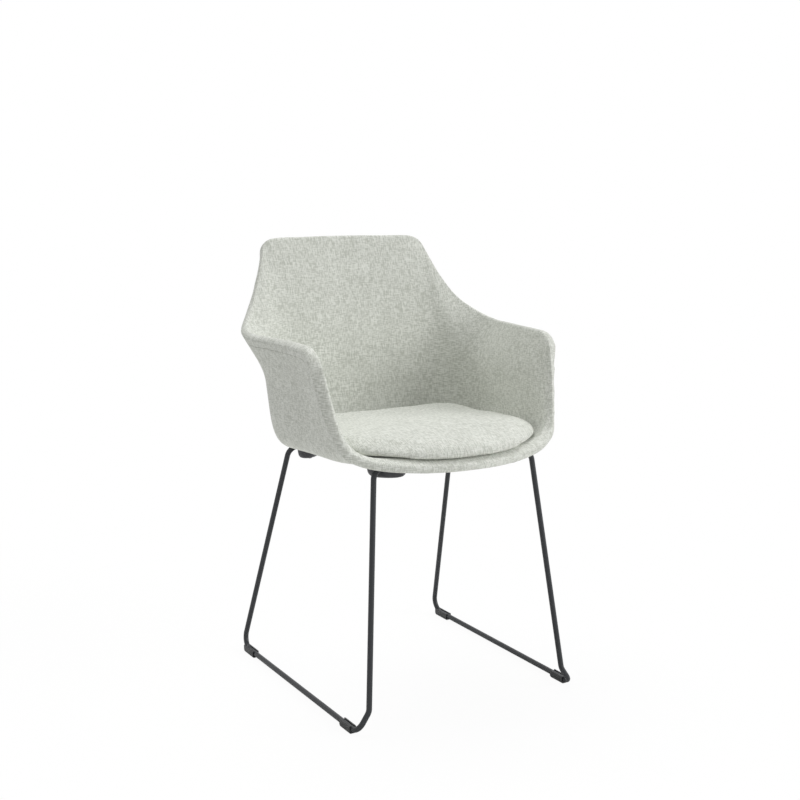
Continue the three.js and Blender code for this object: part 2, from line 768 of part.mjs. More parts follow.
const outerBody = layerGeometry([
  ...faceOut(outerPadDepth).slice(0, -2),
  [1, outerPadDepth, -lipSeamGap],
], [
  [1, outerPadDepth + outerPadThickness, -lipSeamGap],
  ...faceBack(outerPadDepth + outerPadThickness).slice(2),
]);
const bossHole = uprightCylinder(
  bossDiameter / 2 + fitGap,
  coverUnderside - cutOverrun,
  mouldingUnderside + cutOverrun,
);

// The turned-over lip is cleared all round where the rim runs aslant to the seam
const lipClearance = [[0, 0, 0], [-1, 0, 0], [1, 0, 0], [0, -1, 0], [0, 1, 0], [0, 0, -1], [0, 0, 1]]
  .map((way) => innerBody.clone().translate(...way.map((value) => value * fitGap)));
addPiece(chair, 'outer_upholstery', cut(outerBody, ...lipClearance, ...atFixings(bossHole)), 'cloth');

// Seat pad: its half outline as shares of half width and of its front or rear reach
const padOutlineShares = [
  [0.00, -1.00],
  [0.20, -0.985],
  [0.38, -0.945],
  [0.55, -0.87],
  [0.71, -0.77],
  [0.84, -0.65],
  [0.935, -0.51],
  [0.985, -0.36],
  [1.00, -0.18],
  [0.995, 0.10],
  [0.98, 0.38],
  [0.955, 0.64],
  [0.91, 0.85],
  [0.83, 0.96],
  [0.70, 1.00],
  [0.50, 1.00],
  [0.25, 0.98],
  [0.00, 0.97],
];

// Pad section from the crown out and down: share of the way out, share of the way up
const padTopShares = [0.25, 0.5, 0.72, 0.87];
const padSideShares = [
  [0.935, 0.95],
  [0.970, 0.86],
  [0.992, 0.68],
  [1.000, 0.48],
  [0.998, 0.26],
  [0.985, 0.08],
  [0.965, 0.00],
  [0.900, 0.00],
];
const padSteps = 56;
const boardSteps = 40;

function padOutline(inset = 0) {
  return mirroredLoop(padOutlineShares.map(([x, y]) => new THREE.Vector3(
    x * (padHalfWidth - inset),
    y * ((y < 0 ? padFrontReach : padRearReach) - inset),
    0,
  )));
}

const boardLow = seatFloor + fitGap;
const boardHigh = boardLow + boardThickness;
const padUnderside = boardHigh + fitGap;
const padTop = seatFloor + padThickness;

function padGeometry() {
  const outline = padOutline();
  const undersideShare = 1 - (boardInset - padEdgeGap) / padFrontReach;
  const top = (y) => padTop - padFrontFall * THREE.MathUtils.smoothstep(-y, padFallStart, padFrontReach);
  const sections = Array.from({ length: padSteps }, (_, i) => {
    const edge = outline.getPoint(i / padSteps);
    const at = (share, z) => new THREE.Vector3(edge.x * share, edge.y * share, z);
    const low = (share) => surfaceRise(edge.x * share, edge.y * share) + seatFloor + padEdgeGap;
    return [
      ...padTopShares.map((share) => at(share, top(edge.y * share) + padCrown * (1 - share * share))),
      ...padSideShares.map(([share, up]) => at(share, THREE.MathUtils.lerp(low(share), top(edge.y), up))),
      at(undersideShare, padUnderside),
    ];
  });
  const crown = new THREE.Vector3(0, 0, padTop + padCrown);
  return closedLoft(sections, crown, new THREE.Vector3(0, 0, padUnderside));
}

function boardGeometry() {
  const outline = padOutline(boardInset);
  const sections = Array.from({ length: boardSteps }, (_, i) => {
    const { x, y } = outline.getPoint(i / boardSteps);
    return [new THREE.Vector3(x, y, boardHigh), new THREE.Vector3(x, y, boardLow)];
  });
  return closedLoft(sections, new THREE.Vector3(0, 0, boardHigh), new THREE.Vector3(0, 0, boardLow));
}

addPiece(seat, 'seat_cushion', padGeometry(), 'cloth');
addPiece(seat, 'cushion_board', boardGeometry(), 'boardPlastic');

// Origin on the floor under the middle of the whole chair
group.updateMatrixWorld(true);
const bounds = new THREE.Box3().setFromObject(group, true);
const middle = bounds.getCenter(new THREE.Vector3());
chair.position.set(-middle.x, -middle.y, -bounds.min.z);

export default group;
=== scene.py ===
"""Dresses the sled base visitor chair: cloth covers, seat pad, wire frame, stage, light and camera."""

import json
import logging
import math
from collections.abc import Callable
from dataclasses import dataclass
from enum import Enum
from typing import ClassVar

import bmesh
import bpy
import numpy as np
from mathutils import Matrix, Vector

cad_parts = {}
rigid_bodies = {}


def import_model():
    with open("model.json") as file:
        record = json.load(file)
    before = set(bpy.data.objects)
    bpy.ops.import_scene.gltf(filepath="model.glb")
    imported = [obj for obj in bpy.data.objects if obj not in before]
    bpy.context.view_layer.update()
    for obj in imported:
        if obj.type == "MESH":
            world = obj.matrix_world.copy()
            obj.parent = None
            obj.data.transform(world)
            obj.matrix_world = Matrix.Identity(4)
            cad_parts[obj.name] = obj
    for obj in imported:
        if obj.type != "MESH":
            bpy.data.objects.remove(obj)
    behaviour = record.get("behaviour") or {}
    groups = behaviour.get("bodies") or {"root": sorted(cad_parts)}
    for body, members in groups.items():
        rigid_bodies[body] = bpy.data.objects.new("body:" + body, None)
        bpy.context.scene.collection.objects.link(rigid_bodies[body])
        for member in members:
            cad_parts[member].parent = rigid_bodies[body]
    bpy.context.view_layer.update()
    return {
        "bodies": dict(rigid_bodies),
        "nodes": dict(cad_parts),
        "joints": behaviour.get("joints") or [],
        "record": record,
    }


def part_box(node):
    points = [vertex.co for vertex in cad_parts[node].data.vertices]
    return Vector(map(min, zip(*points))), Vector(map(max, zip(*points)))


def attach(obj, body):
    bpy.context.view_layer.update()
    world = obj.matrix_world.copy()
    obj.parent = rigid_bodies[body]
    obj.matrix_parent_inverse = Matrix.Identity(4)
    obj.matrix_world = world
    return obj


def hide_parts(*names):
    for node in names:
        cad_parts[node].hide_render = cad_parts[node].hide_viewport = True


LOG = logging.getLogger("chair")
MM = 0.001
# Stands in for a length of nothing where something is divided by a length
TINY = 1e-9
CORNERS = ("front_left", "front_right", "rear_left", "rear_right")
SIDES = {"left": -1, "right": 1}
Table = tuple[tuple[float, ...], ...]


class Slot(Enum):
    """The record's material slots."""

    FRAME = "frame_steel"
    GLIDE = "glide_plastic"
    BLOCK = "block_plastic"
    SCREW = "screw_steel"
    INSERT = "insert_brass"
    SHELL = "shell_plastic"
    CLOTH = "cover_cloth"
    BOARD = "board_plastic"


class Axis(Enum):
    """The way across a row of yarns."""

    WIDTH = 0
    DEPTH = 1
    HEIGHT = 2


def linear(hex_colour: str) -> tuple[float, float, float, float]:
    """Turns an sRGB hex colour into linear light.

    Args:
        hex_colour: Six hex digits after a hash.

    Returns:
        Red, green, blue and alpha from 0 to 1.
    """
    parts = [int(hex_colour[i:i + 2], 16) / 255 for i in (1, 3, 5)]
    red, green, blue = (
        part / 12.92 if part <= 0.04045 else ((part + 0.055) / 1.055) ** 2.4
        for part in parts
    )
    return red, green, blue, 1.0


def add_node(
    tree: bpy.types.NodeTree,
    kind: str,
    inputs: dict[str | int, object] | None = None,
    **settings: object,
) -> bpy.types.Node:
    """Adds one shader node with its settings and links.

    Args:
        tree: The tree that gets the node.
        kind: The node's type.
        inputs: Values or output sockets for its inputs, by name or number.
        **settings: Properties set on the node itself.

    Returns:
        The new node.
    """
    node = tree.nodes.new(kind)
    for name, value in settings.items():
        setattr(node, name, value)
    for name, value in (inputs or {}).items():
        if isinstance(value, bpy.types.NodeSocket):
            tree.links.new(value, node.inputs[name])
        else:
            node.inputs[name].default_value = value
    return node


@dataclass(frozen=True)
class Patterns:
    """Patterns of a real size in one material's tree, laid out by coordinates in metres."""

    tree: bpy.types.NodeTree
    place: bpy.types.NodeSocket

    # The range that a noise seldom leaves
    usual_low: ClassVar[float] = 0.3
    usual_high: ClassVar[float] = 0.7

    def clouds(self, size_mm: float, fine_levels: float, low: float, high: float) -> bpy.types.NodeSocket:
        """Adds even clouds that swing between two values.

        Args:
            size_mm: Width of one cloud.
            fine_levels: Finer levels laid over the first.
            low: The value at the clouds' usual low.
            high: The value at their usual high.

        Returns:
            The swinging value.
        """
        noise = add_node(self.tree, "ShaderNodeTexNoise", {
            "Vector": self.place,
            "Scale": 1 / (size_mm * MM),
            "Detail": fine_levels,
        })
        return add_node(self.tree, "ShaderNodeMapRange", {
            "Value": noise.outputs["Fac"],
            "From Min": self.usual_low,
            "From Max": self.usual_high,
            "To Min": low,
            "To Max": high,
        }).outputs["Result"]

    def grain(self, size_mm: float, fine_levels: float, rise_mm: float) -> bpy.types.NodeSocket:
        """Adds the relief of an even grain.

        Args:
            size_mm: Width of one grain.
            fine_levels: Finer levels laid over the first.
            rise_mm: Height of one grain.

        Returns:
            The relief's normal.
        """
        noise = add_node(self.tree, "ShaderNodeTexNoise", {
            "Vector": self.place,
            "Scale": 1 / (size_mm * MM),
            "Detail": fine_levels,
        })
        return add_node(self.tree, "ShaderNodeBump", {
            "Height": noise.outputs["Fac"],
            "Distance": rise_mm * MM,
        }).outputs["Normal"]

    def flecks(self, axis: Axis, length_mm: float, width_mm: float, levels: float) -> bpy.types.NodeSocket:
        """Adds noise that changes fast along one axis only, as across a row of yarns.

        Args:
            axis: The way across the yarns.
            length_mm: Length of one fleck.
            width_mm: Width of one fleck.
            levels: Finer levels laid over the first.

        Returns:
            The noise's value from 0 to 1.
        """
        scale = [1 / (length_mm * MM)] * 3
        scale[axis.value] = 1 / (width_mm * MM)
        # The same numbers also shift the noise, so that no two rows are alike
        drawn = add_node(self.tree, "ShaderNodeMapping", {
            "Vector": self.place,
            "Scale": scale,
            "Location": scale,
        })
        return add_node(self.tree, "ShaderNodeTexNoise", {
            "Vector": drawn.outputs["Vector"],
            "Scale": 1.0,
            "Detail": levels,
        }).outputs["Fac"]

    def woven(self, length_mm: float, width_mm: float, levels: float) -> bpy.types.NodeSocket:
        """Blends yarns across all three axes, so that every face of the cloth shows two rows.

        Args:
            length_mm: Length of one fleck.
            width_mm: Width of one fleck.
            levels: Finer levels laid over the first.

        Returns:
            Their mean, without the row that would be stacked through the cloth there.
        """
        tree, whole = self.tree, (1.0, 1.0, 1.0)
        rows = [self.flecks(axis, length_mm, width_mm, levels) for axis in Axis]
        yarns = add_node(tree, "ShaderNodeCombineXYZ", dict(enumerate(rows))).outputs[0]
        facing = add_node(tree, "ShaderNodeNewGeometry").outputs["True Normal"]
        level = add_node(tree, "ShaderNodeVectorMath", {0: facing}, operation="ABSOLUTE").outputs[0]
        seen = add_node(tree, "ShaderNodeVectorMath", {0: whole, 1: level}, operation="SUBTRACT").outputs[0]
        total = add_node(tree, "ShaderNodeVectorMath", {0: yarns, 1: seen}, operation="DOT_PRODUCT")
        shares = add_node(tree, "ShaderNodeVectorMath", {0: seen, 1: whole}, operation="DOT_PRODUCT")
        return add_node(tree, "ShaderNodeMath", {
            0: total.outputs["Value"],
            1: shares.outputs["Value"],
        }, operation="DIVIDE").outputs[0]


@dataclass(frozen=True)
class Finish:
    """A material made from a named stuff; each kind adds its own surface."""

    name: str
    colour: str
    roughness: float
    ior: float = 1.5

    def build(self) -> bpy.types.Material:
        """Makes the material.

        Returns:
            A material whose surface is one shader with this finish's detail.
        """
        material = bpy.data.materials.new(self.name)
        material.use_nodes = True
        tree = material.node_tree
        tree.nodes.clear()
        place = add_node(tree, "ShaderNodeTexCoord").outputs["Object"]
        plain = {
            "Base Color": linear(self.colour),
            "Roughness": self.roughness,
            "IOR": self.ior,
        }
        shader = add_node(tree, "ShaderNodeBsdfPrincipled", plain | self.detail(Patterns(tree, place)))
        add_node(tree, "ShaderNodeOutputMaterial", {"Surface": shader.outputs["BSDF"]})
        return material

    def detail(self, patterns: Patterns) -> dict[str, object]:
        """Gives the shader inputs that this kind of surface adds or changes.

        Args:
            patterns: Adds patterns to the material.

        Returns:
            Values or sockets by the input's name.
        """
        raise NotImplementedError


@dataclass(frozen=True)
class MelangeCloth(Finish):
    """Upholstery cloth of wool and polyester, plain woven from blended yarns.

    Light and dark fibres spun together give short lengthwise and crosswise flecks,
    and the raised fibre ends give a soft pale sheen where the cloth turns away.
    """

    dark_colour: str = "#9ea295"
    deep_colour: str = "#7f8376"
    # Yarns lie 0.9 mm apart, too fine to show at this size. So the flecks are drawn
    # 1.4 mm wide, and the relief's yarns 1.6 mm apart and level for 8 mm at a time
    fleck_length_mm: float = 9.0
    fleck_width_mm: float = 1.4
    fleck_strength: float = 0.56
    yarn_spacing_mm: float = 1.6
    yarn_length_mm: float = 8.0
    yarn_rise_mm: float = 0.2
    yarn_levels: float = 0.5
    # Blends of yarn below the first value are dark, and above the second light
    dark_blend: float = 0.36
    light_blend: float = 0.64
    cloud_size_mm: float = 55.0
    cloud_levels: float = 3.0
    cloud_strength: float = 0.10
    sheen: float = 0.22
    sheen_roughness: float = 0.5
    mirror_share: float = 0.2

    def detail(self, patterns: Patterns) -> dict[str, object]:
        """Adds the blended yarns, the cloudy dyeing, the weave's relief and the sheen.

        Args:
            patterns: Adds patterns to the material.

        Returns:
            Values or sockets by the input's name.
        """
        tree = patterns.tree
        light = add_node(tree, "ShaderNodeMapRange", {
            "Value": patterns.woven(self.fleck_length_mm, self.fleck_width_mm, self.yarn_levels),
            "From Min": self.dark_blend,
            "From Max": self.light_blend,
        }, interpolation_type="SMOOTHSTEP")
        # A mix node takes its two colours at inputs 6 and 7 and gives the mixed one at output 2
        yarn = add_node(tree, "ShaderNodeMix", {
            "Factor": light.outputs["Result"],
            6: linear(self.dark_colour),
            7: linear(self.colour),
        }, data_type="RGBA")
        plain = add_node(tree, "ShaderNodeMix", {
            "Factor": self.fleck_strength,
            6: linear(self.colour),
            7: yarn.outputs[2],
        }, data_type="RGBA")
        dyed = add_node(tree, "ShaderNodeMix", {
            "Factor": patterns.clouds(self.cloud_size_mm, self.cloud_levels, 0.0, self.cloud_strength),
            6: plain.outputs[2],
            7: linear(self.deep_colour),
        }, data_type="RGBA")
        relief = add_node(tree, "ShaderNodeBump", {
            "Height": patterns.woven(self.yarn_length_mm, self.yarn_spacing_mm, self.yarn_levels),
            "Distance": self.yarn_rise_mm * MM,
        })
        return {
            "Base Color": dyed.outputs[2],
            "Normal": relief.outputs["Normal"],
            "Sheen Weight": self.sheen,
            "Sheen Roughness": self.sheen_roughness,
            "Specular IOR Level": self.mirror_share,
        }


@dataclass(frozen=True)
class PowderCoat(Finish):
    """Steel wire with a polyester powder coat.

    The melted powder leaves a faint orange peel that breaks up long highlights.
    """

    peel_mm: float = 1.4
    peel_levels: float = 1.0
    peel_rise_mm: float = 0.03
    gloss_patch_mm: float = 18.0
    gloss_levels: float = 2.0
    glossier: float = 0.05
    duller: float = 0.07
    mirror_share: float = 0.32

    def detail(self, patterns: Patterns) -> dict[str, object]:
        """Adds the orange peel and a slightly uneven gloss.

        Args:
            patterns: Adds patterns to the material.

        Returns:
            Values or sockets by the input's name.
        """
        low, high = self.roughness - self.glossier, self.roughness + self.duller
        return {
            "Normal": patterns.grain(self.peel_mm, self.peel_levels, self.peel_rise_mm),
            "Roughness": patterns.clouds(self.gloss_patch_mm, self.gloss_levels, low, high),
            "Specular IOR Level": self.mirror_share,
        }


@dataclass(frozen=True)
class MouldedPlastic(Finish):
    """Injection moulded plastic with a spark eroded mould face.

    The even fine grain gives a dull sheen without mirror highlights.
    """

    # Spark erosion leaves grains of about 0.2 mm, too fine to show at this size, so they
    # are drawn 0.7 mm wide and as much higher
    grain_mm: float = 0.7
    grain_levels: float = 2.0
    grain_rise_mm: float = 0.04
    flow_mark_mm: float = 26.0
    flow_levels: float = 1.0
    flow_swing: float = 0.06

    def detail(self, patterns: Patterns) -> dict[str, object]:
        """Adds the mould's grain and the faint flow marks of the melt.

        Args:
            patterns: Adds patterns to the material.

        Returns:
            Values or sockets by the input's name.
        """
        low, high = self.roughness - self.flow_swing, self.roughness + self.flow_swing
        return {
            "Normal": patterns.grain(self.grain_mm, self.grain_levels, self.grain_rise_mm),
            "Roughness": patterns.clouds(self.flow_mark_mm, self.flow_levels, low, high),
        }


@dataclass(frozen=True)
class TurnedMetal(Finish):
    """Metal turned on a lathe, left bare or blackened in an oil bath.

    The tool leaves fine rings that draw the highlight out.
    """

    metallic: float = 1.0
    ring_mm: float = 0.3
    ring_wobble: float = 0.4
    ring_rise_mm: float = 0.01
    touch_mark_mm: float = 2.5
    touch_levels: float = 2.0
    glossier: float = 0.08
    duller: float = 0.1

    def detail(self, patterns: Patterns) -> dict[str, object]:
        """Adds the tool rings and the handled, uneven gloss.

        Args:
            patterns: Adds patterns to the material.

        Returns:
            Values or sockets by the input's name.
        """
        rings = add_node(patterns.tree, "ShaderNodeTexWave", {
            "Vector": patterns.place,
            "Scale": 1 / (self.ring_mm * MM) / math.tau,
            "Distortion": self.ring_wobble,
        }, bands_direction="Z")
        relief = add_node(patterns.tree, "ShaderNodeBump", {
            "Height": rings.outputs["Fac"],
            "Distance": self.ring_rise_mm * MM,
        })
        low, high = self.roughness - self.glossier, self.roughness + self.duller
        return {
            "Metallic": self.metallic,
            "Normal": relief.outputs["Normal"],
            "Roughness": patterns.clouds(self.touch_mark_mm, self.touch_levels, low, high),
        }


FINISHES = {
    # Charcoal with a soft, slightly broken highlight along the wire
    Slot.FRAME: PowderCoat("charcoal_powder_coat", "#2f3134", roughness=0.36),
    # Dull black, only a little paler where it faces the light
    Slot.GLIDE: MouldedPlastic("black_polyamide_glide", "#242527", roughness=0.48, ior=1.53),
    # Charcoal like the wire, but without its highlight
    Slot.BLOCK: MouldedPlastic("charcoal_polyamide_block", "#2c2d30", roughness=0.46, ior=1.53),
    # Dark metal with a drawn-out glint
    Slot.SCREW: TurnedMetal("blackened_screw_steel", "#3b3c3f", roughness=0.38),
    # Warm yellow metal with a drawn-out glint
    Slot.INSERT: TurnedMetal("turned_brass", "#c8a35a", roughness=0.30),
    # Dull dark grey, covered on both sides
    Slot.SHELL: MouldedPlastic("moulded_polypropylene_shell", "#3d3f41", roughness=0.55, ior=1.49),
    # Pale sage grey with darker flecks, softly bright where it turns away
    Slot.CLOTH: MelangeCloth("sage_melange_cloth", "#e7e9e2", roughness=0.92, ior=1.54),
    # Dull black, hidden under the pad
    Slot.BOARD: MouldedPlastic("pressed_pad_board", "#2b2c2e", roughness=0.6, ior=1.53),
}


class Wardrobe:
    """Builds each finish once and puts it on pieces."""

    def __init__(self) -> None:
        """Builds every finish."""
        self.made = {slot: finish.build() for slot, finish in FINISHES.items()}

    def dress(self, piece: bpy.types.Object, slot: Slot) -> None:
        """Gives a piece the material of one slot."""
        piece.data.materials.clear()
        piece.data.materials.append(self.made[slot])

    def add(self, piece: bpy.types.Object, slot: Slot, *nodes: str) -> bpy.types.Object:
        """Dresses a new piece in its slot's finish, names the solids it stands for, and lets it ride.

        Args:
            piece: The new piece, already in place.
            slot: The slot that its finish comes from.
            *nodes: The solids that it stands for.

        Returns:
            The piece.
        """
        self.dress(piece, slot)
        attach(piece, "root")
        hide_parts(*nodes)
        LOG.info("%s stands for %s", piece.name, ", ".join(nodes))
        return piece


def placed(name: str, data: bpy.types.ID) -> bpy.types.Object:
    """Makes an object and links it to the scene.

    Args:
        name: The object's name.
        data: Its mesh, lamp or camera.

    Returns:
        The object.
    """
    made = bpy.data.objects.new(name, data)
    bpy.context.scene.collection.objects.link(made)
    return made


def new_piece(
    name: str,
    points: np.ndarray,
    faces: list[tuple[int, ...]],
    sharp_angle: float = 180.0,
) -> bpy.types.Object:
    """Makes a smooth-shaded closed piece whose faces all point outward.

    Args:
        name: Its name.
        points: Corner points in millimetres.
        faces: Corner numbers of each face.
        sharp_angle: Degrees beyond which an edge stays sharp.

    Returns:
        The piece, linked to the scene.
    """
    mesh = bpy.data.meshes.new(name)
    mesh.from_pydata((points * MM).tolist(), [], faces)
    mesh.update()
    mesh.shade_smooth()
    shape = bmesh.new()
    shape.from_mesh(mesh)
    bmesh.ops.recalc_face_normals(shape, faces=shape.faces)
    shape.to_mesh(mesh)
    shape.free()
    mesh.set_sharp_from_angle(angle=math.radians(sharp_angle))
    return placed(name, mesh)


def loft(rings: np.ndarray, closed_ends: bool = True) -> tuple[np.ndarray, list[tuple[int, ...]]]:
    """Skins a row of closed rings.

    Args:
        rings: Rings by points by three, in millimetres.
        closed_ends: Whether the first and last ring are filled.

    Returns:
        The points and the faces.
    """
    count, size = rings.shape[:2]
    faces: list[tuple[int, ...]] = []
    for ring in range(count - 1):
        low, high = ring * size, (ring + 1) * size
        for i in range(size):
            j = (i + 1) % size
            faces.append((low + i, low + j, high + j, high + i))
    if closed_ends:
        faces.append(tuple(reversed(range(size))))
        faces.append(tuple(range((count - 1) * size, count * size)))
    return rings.reshape(-1, 3), faces


def eased(share: np.ndarray | float) -> np.ndarray | float:
    """Turns an even climb from 0 to 1 into one that starts and ends level."""
    return share * share * (3 - 2 * share)


def closed_in(
    low: np.ndarray,
    high: np.ndarray,
    short: Callable[[np.ndarray], np.ndarray],
    halvings: int,
) -> np.ndarray:
    """Closes in on the places where something stops being short.

    Args:
        low: Places where it is short.
        high: Places where it isn't.
        short: Tells it for one place each.
        halvings: Steps of the search.

    Returns:
        The places between.
    """
    for _ in range(halvings):
        middle = (low + high) / 2
        still = short(middle)
        low, high = np.where(still, middle, low), np.where(still, high, middle)
    return (low + high) / 2


class ClosedSpline:
    """A closed curve through points, smooth at each and without overshoot where they crowd."""

    coincident: ClassVar[float] = 1e-4

    def __init__(self, points: np.ndarray) -> None:
        """Works out the cubic of every span.

        Args:
            points: The points, one row each.
        """
        before, after, beyond = (np.roll(points, turn, axis=0) for turn in (1, -1, -2))
        middle = self.root_gap(points, after, np.ones((len(points), 1)))
        first = self.root_gap(before, points, middle)
        last = self.root_gap(after, beyond, middle)
        leave = ((points - before) / first - (after - before) / (first + middle)) * middle + after - points
        reach = after - points + ((beyond - after) / last - (beyond - points) / (middle + last)) * middle
        chord = after - points
        self.terms = (points, leave, 3 * chord - 2 * leave - reach, leave + reach - 2 * chord)

    def root_gap(self, one: np.ndarray, other: np.ndarray, instead: np.ndarray) -> np.ndarray:
        """Returns the square root of each distance, or the stand-in where points coincide."""
        root = np.sqrt(np.linalg.norm(other - one, axis=1, keepdims=True))
        return np.where(root < self.coincident, instead, root)

    def at(self, share: np.ndarray) -> np.ndarray:
        """Finds points by their share of the way round.

        Args:
            share: Shares; whole turns are dropped.

        Returns:
            One row a share.
        """
        count = len(self.terms[0])
        place = (share % 1.0) * count
        span = np.floor(place).astype(int) % count
        within = (place - np.floor(place))[:, None]
        start, slope, bend, twist = (term[span] for term in self.terms)
        return start + within * (slope + within * (bend + within * twist))


def climb(low_pull: np.ndarray, high_pull: np.ndarray, share: np.ndarray) -> np.ndarray:
    """Climbs from 0 to 1 on a cubic curve that two values pull at its ends."""
    left = 1 - share
    return 3 * left * left * share * low_pull + 3 * left * share * share * high_pull + share**3


def mirrored(half: np.ndarray, flip: bool) -> np.ndarray:
    """Closes half a row of points into a loop.

    Args:
        half: Points from the front middle to the rear middle.
        flip: Whether the other half's first number changes its sign.

    Returns:
        The whole loop.
    """
    other = half[-2:0:-1].copy()
    if flip:
        other[:, 0] *= -1
    return np.vstack([half, other])


@dataclass
class WireFrame:
    """Bent steel wire: two side frames with runners and two crossbars. Millimetres."""

    middle_y: float
    rod_diameter: float = 10.0
    floor_to_runner: float = 8.0
    runner_span: float = 450.0
    front_bar_height: float = 447.5
    rear_bar_height: float = 435.6
    bar_spacing: float = 295.4
    front_corner_span: float = 325.6
    rear_corner_span: float = 364.6
    front_leg_kink_span: float = 405.6
    front_leg_kink_height: float = 40.7
    front_runner_reach: float = 53.4
    rear_runner_reach: float = 141.2
    stub_length: float = 38.5
    weld_gap: float = 0.3
    top_bend_radius: float = 20.0
    kink_bend_radius: float = 22.0
    front_foot_bend_radius: float = 18.0
    rear_foot_bend_radius: float = 23.0
    cut_edge: float = 0.5
    sides: int = 28
    bend_steps: int = 14
    sharp_angle: float = 40.0

    @property
    def front_bar_y(self) -> float:
        """Where the front crossbar lies."""
        return self.middle_y - self.bar_spacing / 2

    @property
    def rear_bar_y(self) -> float:
        """Where the rear crossbar lies."""
        return self.middle_y + self.bar_spacing / 2

    def side_corners(self, side: int) -> tuple[list[Vector], list[float]]:
        """Gives the corner points of one side frame's centre line and its bend radii.

        Args:
            side: -1 for the left, 1 for the right.

        Returns:
            The corners, and a radius for each inner one.
        """
        front, rear = self.front_bar_y, self.rear_bar_y
        toe, heel = front - self.front_runner_reach, rear + self.rear_runner_reach
        stub = 2 * self.stub_length
        rows = [
            (self.front_corner_span - stub, front, self.front_bar_height),
            (self.front_corner_span, front, self.front_bar_height),
            (self.front_leg_kink_span, toe, self.front_leg_kink_height),
            (self.runner_span, toe, self.floor_to_runner),
            (self.runner_span, heel, self.floor_to_runner),
            (self.rear_corner_span, rear, self.rear_bar_height),
            (self.rear_corner_span - stub, rear, self.rear_bar_height),
        ]
        radii = [
            self.top_bend_radius,
            self.kink_bend_radius,
            self.front_foot_bend_radius,
            self.rear_foot_bend_radius,
            self.top_bend_radius,
        ]
        return [Vector((side * span / 2, y, z)) for span, y, z in rows], radii

    def bar_corners(self, span: float, y: float, height: float) -> list[Vector]:
        """Gives the two ends of a crossbar's centre line."""
        half = span / 2 - self.stub_length - self.weld_gap
        return [Vector((-half, y, height)), Vector((half, y, height))]

    def bent_line(self, corners: list[Vector], radii: list[float]) -> list[tuple[Vector, Vector]]:
        """Rounds the inner corners of a line.

        Args:
            corners: The line's corners.
            radii: The bend radius at each inner corner.

        Returns:
            Points of the centre line, each with its direction.
        """
        line = [(corners[0], (corners[1] - corners[0]).normalized())]
        for before, corner, after, radius in zip(corners, corners[1:], corners[2:], radii):
            into = (corner - before).normalized()
            out = (after - corner).normalized()
            turn = into.angle(out)
            axis = into.cross(out).normalized()
            start = corner - into * radius * math.tan(turn / 2)
            centre = start + axis.cross(into) * radius
            for step in range(self.bend_steps + 1):
                swing = Matrix.Rotation(turn * step / self.bend_steps, 3, axis)
                line.append((centre + swing @ (start - centre), swing @ into))
        line.append((corners[-1], (corners[-1] - corners[-2]).normalized()))
        return line

    def rod(self, name: str, corners: list[Vector], radii: list[float]) -> bpy.types.Object:
        """Sweeps the wire along a line, with its ends cut square and lightly broken.

        Args:
            name: The piece's name.
            corners: The line's corners.
            radii: The bend radius at each inner corner.

        Returns:
            The rod.
        """
        line = self.bent_line(corners, radii)
        radius = self.rod_diameter / 2
        edge = self.cut_edge
        across = line[0][1].orthogonal().normalized()
        rings = []
        angles = np.linspace(0, math.tau, self.sides, endpoint=False)
        last = len(line) - 1
        for i, (point, along) in enumerate(line):
            across = (across - along * across.dot(along)).normalized()
            up = along.cross(across)
            disc = np.cos(angles)[:, None] * np.array(across) + np.sin(angles)[:, None] * np.array(up)
            if i == 0:
                rings.append(np.array(point) + disc * (radius - edge))
                point = point + along * edge
            if i == last:
                rings.append(np.array(point - along * edge) + disc * radius)
                rings.append(np.array(point) + disc * (radius - edge))
            else:
                rings.append(np.array(point) + disc * radius)
        return new_piece(name, *loft(np.array(rings)), self.sharp_angle)

    def build(self, wardrobe: Wardrobe) -> None:
        """Makes and dresses both side frames and both crossbars.

        Args:
            wardrobe: Gives the finishes.
        """
        for name, side in SIDES.items():
            rod = self.rod(f"wire_side_{name}", *self.side_corners(side))
            wardrobe.add(rod, Slot.FRAME, f"side_frame_{name}")
        front = self.bar_corners(self.front_corner_span, self.front_bar_y, self.front_bar_height)
        rear = self.bar_corners(self.rear_corner_span, self.rear_bar_y, self.rear_bar_height)
        wardrobe.add(self.rod("wire_front_bar", front, []), Slot.FRAME, "front_crossbar")
        wardrobe.add(self.rod("wire_rear_bar", rear, []), Slot.FRAME, "rear_crossbar")


